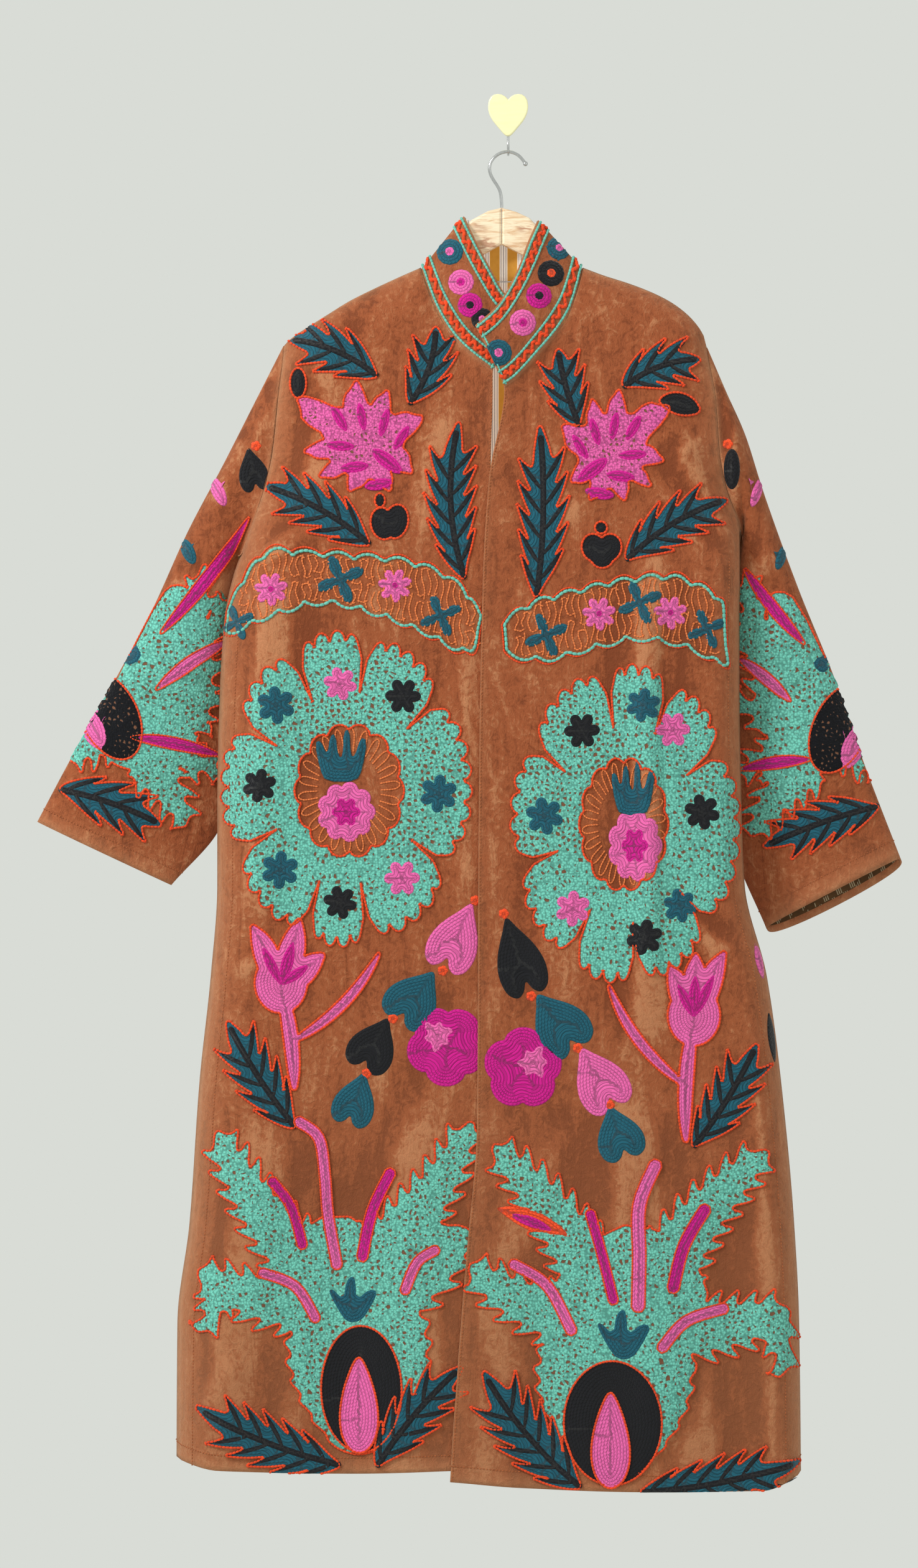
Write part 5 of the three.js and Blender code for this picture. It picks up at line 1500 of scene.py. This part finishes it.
def stitchTree():  # a tapered stitch on every point, turned along the thread
    tree = bpy.data.node_groups.new("stitches", "GeometryNodeTree")
    face = tree.interface
    sockets = {"Geometry": "Geometry", "Length": "Float", "Width": "Float", "Thread": "Material"}
    for name, kind in sockets.items():
        face.new_socket(name, in_out="INPUT", socket_type="NodeSocket" + kind)
    face.new_socket("Geometry", in_out="OUTPUT", socket_type="NodeSocketGeometry")
    add, link = tree.nodes.new, tree.links.new
    source, target = add("NodeGroupInput"), add("NodeGroupOutput")

    def named(name, kind):
        node = add("GeometryNodeInputNamedAttribute")
        node.data_type = kind
        node.inputs[0].default_value = name
        return node.outputs[0]

    ball = add("GeometryNodeMeshUVSphere")
    ball.inputs["Segments"].default_value = 6
    ball.inputs["Rings"].default_value = 3
    ball.inputs["Radius"].default_value = 0.5
    axes = add("FunctionNodeAxesToRotation")
    axes.primary_axis, axes.secondary_axis = "Z", "X"
    link(named("facing", "FLOAT_VECTOR"), axes.inputs[0])
    link(named("tangent", "FLOAT_VECTOR"), axes.inputs[1])
    size = add("ShaderNodeCombineXYZ")
    link(source.outputs["Length"], size.inputs[0])
    link(source.outputs["Width"], size.inputs[1])
    link(source.outputs["Width"], size.inputs[2])
    scaled = add("ShaderNodeVectorMath")
    scaled.operation = "SCALE"
    link(size.outputs[0], scaled.inputs[0])
    link(named("size", "FLOAT"), scaled.inputs["Scale"])
    copies = add("GeometryNodeInstanceOnPoints")
    link(source.outputs["Geometry"], copies.inputs["Points"])
    link(ball.outputs["Mesh"], copies.inputs["Instance"])
    link(axes.outputs[0], copies.inputs["Rotation"])
    link(scaled.outputs[0], copies.inputs["Scale"])
    chance = add("FunctionNodeRandomValue")
    chance.data_type = "FLOAT"
    chance.inputs["Seed"].default_value = tintSeed
    stored = add("GeometryNodeStoreNamedAttribute")
    stored.data_type, stored.domain = "FLOAT", "INSTANCE"
    stored.inputs["Name"].default_value = "tint"
    link(copies.outputs[0], stored.inputs["Geometry"])
    link(chance.outputs[1], stored.inputs["Value"])
    real, painted = add("GeometryNodeRealizeInstances"), add("GeometryNodeSetMaterial")
    link(stored.outputs[0], real.inputs[0])
    link(real.outputs[0], painted.inputs["Geometry"])
    link(source.outputs["Thread"], painted.inputs["Material"])
    link(painted.outputs[0], target.inputs[0])
    return tree


stitches = stitchTree()


def stitchObject(panel, colour):
    rows = lines[(panel, colour)]
    spots, tangent, facing = [np.concatenate([r[k] for r in rows]) for k in range(3)]
    size = np.concatenate([np.full(len(r[0]), r[3]) for r in rows])
    name = f"{panel}_{colour}_stitches"
    mesh = bpy.data.meshes.new(name)
    mesh.from_pydata(spots.tolist(), [], [])
    for key, kind, field, value in (("tangent", "FLOAT_VECTOR", "vector", tangent * 1000),
                                    ("facing", "FLOAT_VECTOR", "vector", facing),
                                    ("size", "FLOAT", "value", size)):
        mesh.attributes.new(key, kind, "POINT").data.foreach_set(field, value.astype(np.float32).reshape(-1))
    piece = bpy.data.objects.new(name, mesh)
    scene.collection.objects.link(piece)
    modifier = piece.modifiers.new("stitches", "NODES")
    modifier.node_group = stitches
    ids = {s.name: s.identifier for s in stitches.interface.items_tree if s.in_out == "INPUT"}
    for key, value in oneStitch.items():
        modifier[ids[key]] = value
    modifier[ids["Thread"]] = threads[colour]
    bpy.context.view_layer.update()
    made = bpy.data.meshes.new_from_object(piece.evaluated_get(bpy.context.evaluated_depsgraph_get()))
    bpy.data.objects.remove(piece)
    made.name = name
    made.shade_smooth()
    final = bpy.data.objects.new(name, made)
    scene.collection.objects.link(final)
    return final


sewn = {name: [] for name in shells}
for panel in fills:
    sewn[panel].append(fillObject(panel))
for panel, colour in lines:
    sewn[panel].append(stitchObject(panel, colour))
print("stitches made", sum(len(o.data.polygons) for row in sewn.values() for o in row))


# The linings that show, the hanger and the wall hook

liningCloth = {
    "gap": 0.4,
    "thickness": 0.9,
    "backPart": np.s_[6:46, 24:38],  # rows and columns of the back's grid
    "collarU": (1.06, 1.94),  # along the collar, where 1 to 2 is the back of the neck
    "collarB": (0.03, 0.97),  # from its lower edge to its upper one
    "cuffRows": slice(-19, -1),
}


def liningPatch(name, grid, inward, closed=False):
    moved = grid + inward * (cloth + liningCloth["gap"])
    piece = gridMesh(name + "_cloth", moved, facesOut(name, moved), closed)
    return thicken(piece, [cuffLining if closed else lining], liningCloth["thickness"], 1)


backNormals = gridNormals(grids["back"], (0, -1, 0))
part = liningCloth["backPart"]
backLining = liningPatch("back_lining", grids["back"][part], backNormals[part])
inner = collarPoint(np.linspace(*liningCloth["collarU"], 50)[None],
                    np.linspace(*liningCloth["collarB"], 12)[:, None])
collarLining = liningPatch("collar_lining", inner, gridNormals(inner, (0, -1, 0)))
cuff = grids["left_sleeve"][liningCloth["cuffRows"]]
cuffPatch = liningPatch("left_cuff_lining", cuff, -fromMiddle(cuff), True)

wood, metal, plaque = woodMaterial(), metalMaterial(), plaqueMaterial()


def paint(node, material):
    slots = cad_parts[node].data.materials
    if slots:
        slots[0] = material
    else:
        slots.append(material)


for node, material in (("hanger_right_arm", wood), ("hanger_left_arm", wood), ("wall_plate", plaque)):
    paint(node, material)


def wire(name, points, radius, ball=0.0):
    line = bpy.data.curves.new(name, "CURVE")
    line.dimensions = "3D"
    line.bevel_depth = radius * mm
    line.bevel_resolution = 4
    line.use_fill_caps = True
    path = line.splines.new("NURBS")
    path.points.add(len(points) - 1)
    for spot, (x, y, z) in zip(path.points, points):
        spot.co = (x * mm, y * mm, z * mm, 1)
    path.use_endpoint_u = True
    path.order_u = 4
    path.resolution_u = 10
    made = bpy.data.objects.new(name, line)
    scene.collection.objects.link(made)
    mesh = bpy.data.meshes.new_from_object(made.evaluated_get(bpy.context.evaluated_depsgraph_get()))
    bpy.data.objects.remove(made)
    if ball:  # the rounded tip
        shape = bmesh.new()
        shape.from_mesh(mesh)
        spot = Matrix.Translation(Vector(points[0]) * mm)
        bmesh.ops.create_icosphere(shape, subdivisions=3, radius=ball * mm, matrix=spot)
        shape.to_mesh(mesh)
        shape.free()
    mesh.materials.append(metal)
    mesh.shade_smooth()
    piece = bpy.data.objects.new(name, mesh)
    scene.collection.objects.link(piece)
    return piece


hangerWire = {
    "y": -30, "radius": 1.6, "ball": 2.5,
    "path": [(17, -50.5), (12.5, -43.4), (6, -39.4), (-1, -38.1), (-8.5, -39.7), (-15, -44.5), (-19, -51.5),
             (-18.8, -59.5), (-14.5, -67.5), (-9.5, -74), (-6.8, -81), (-6.6, -94)],
}
wallWire = {
    "radius": 1.2,
    "path": [(-5, -20.8), (-5, -33), (-8.5, -38.5), (-16, -40.4), (-24, -41.3), (-31, -41.3), (-35.5, -38),
             (-36, -32)],
}
hook = wire("hanger_wire", [(x, hangerWire["y"], z) for x, z in hangerWire["path"]], hangerWire["radius"],
            hangerWire["ball"])
small = wire("wall_wire", [(0, y, z) for y, z in wallWire["path"]], wallWire["radius"])

# What each piece rides on and stands for
for name, shell in shells.items():
    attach(shell, "root")
    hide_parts(name)
    for piece in sewn[name]:
        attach(piece, "root")
for piece, node, slot in ((backLining, "back_lining", "striped_lining"), (hook, "hanger_hook", "hook_wire"),
                          (collarLining, "collar_lining", "striped_lining"),
                          (small, "wall_hook", "hook_wire"),
                          (cuffPatch, "left_cuff_lining", "striped_lining")):
    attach(piece, "root")
    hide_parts(node)

cuts = {  # flat size in metres and area in square metres
    "right_front": ((0.33, 1.20), 0.331),
    "left_front": ((0.38, 1.22), 0.356),
    "back": ((0.64, 1.20), 0.640),
    "right_sleeve": ((0.42, 0.53), 0.106),
    "left_sleeve": ((0.40, 0.54), 0.108),
    "collar": ((0.46, 0.08), 0.0248),
}
for name, (flat, area) in cuts.items():
    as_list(sewn[name])

# Floor, light and camera

floorDisc = {"radius": 1.9, "z": -1.75, "corners": 96}
lights = {
    "key": {"place": (-2.3, -2.0, 1.3), "aim": (0, 0, -0.7), "size": 0.9, "power": 88},
    "fill": {"place": (2.4, -2.6, 0.0), "aim": (0, 0, -0.8), "size": 2.0, "power": 8},
}
viewFrom = {"x": -0.0490, "z": -0.6665, "distance": 6.07, "height": 1.565, "sensor": 36}

disc = bpy.data.meshes.new("floor")
corners = floorDisc["corners"]
rim = oval((0, 0), floorDisc["radius"], floorDisc["radius"], count=corners)
disc.from_pydata([(x, y, floorDisc["z"]) for x, y in rim], [], [list(range(corners))])
floor = bpy.data.objects.new("floor", disc)
scene.collection.objects.link(floor)
n = Nodes("floor")
shade = n.noise(n.place(), 3, 3)
grey = n.mix(shade, rgb(206, 206, 200), rgb(214, 214, 208))
disc.materials.append(n.finish(grey, shade, 0.001, 0.1, Roughness=0.8))

world = bpy.data.worlds.new("studio")
world.use_nodes = True
background = world.node_tree.nodes["Background"]
background.inputs["Color"].default_value = rgb(222, 225, 219)
background.inputs["Strength"].default_value = 0.95
scene.world = world
scene.view_settings.view_transform = "Standard"


def areaLight(name, place, aim, size, power):
    light = bpy.data.lights.new(name, "AREA")
    light.size = size
    light.energy = power
    thing = bpy.data.objects.new(name, light)
    thing.location = place
    thing.rotation_euler = (Vector(aim) - Vector(place)).to_track_quat("-Z", "Y").to_euler()
    scene.collection.objects.link(thing)


for name, values in lights.items():
    areaLight(name, **values)

camera = bpy.data.cameras.new("camera")
camera.sensor_fit = "AUTO"
camera.sensor_width = viewFrom["sensor"]
camera.lens = viewFrom["sensor"] * viewFrom["distance"] / viewFrom["height"]
camera.clip_end = 50
view = bpy.data.objects.new("camera", camera)
view.location = (viewFrom["x"], -viewFrom["distance"], viewFrom["z"])
view.rotation_euler = (math.pi / 2, 0, 0)
scene.collection.objects.link(view)
scene.camera = view
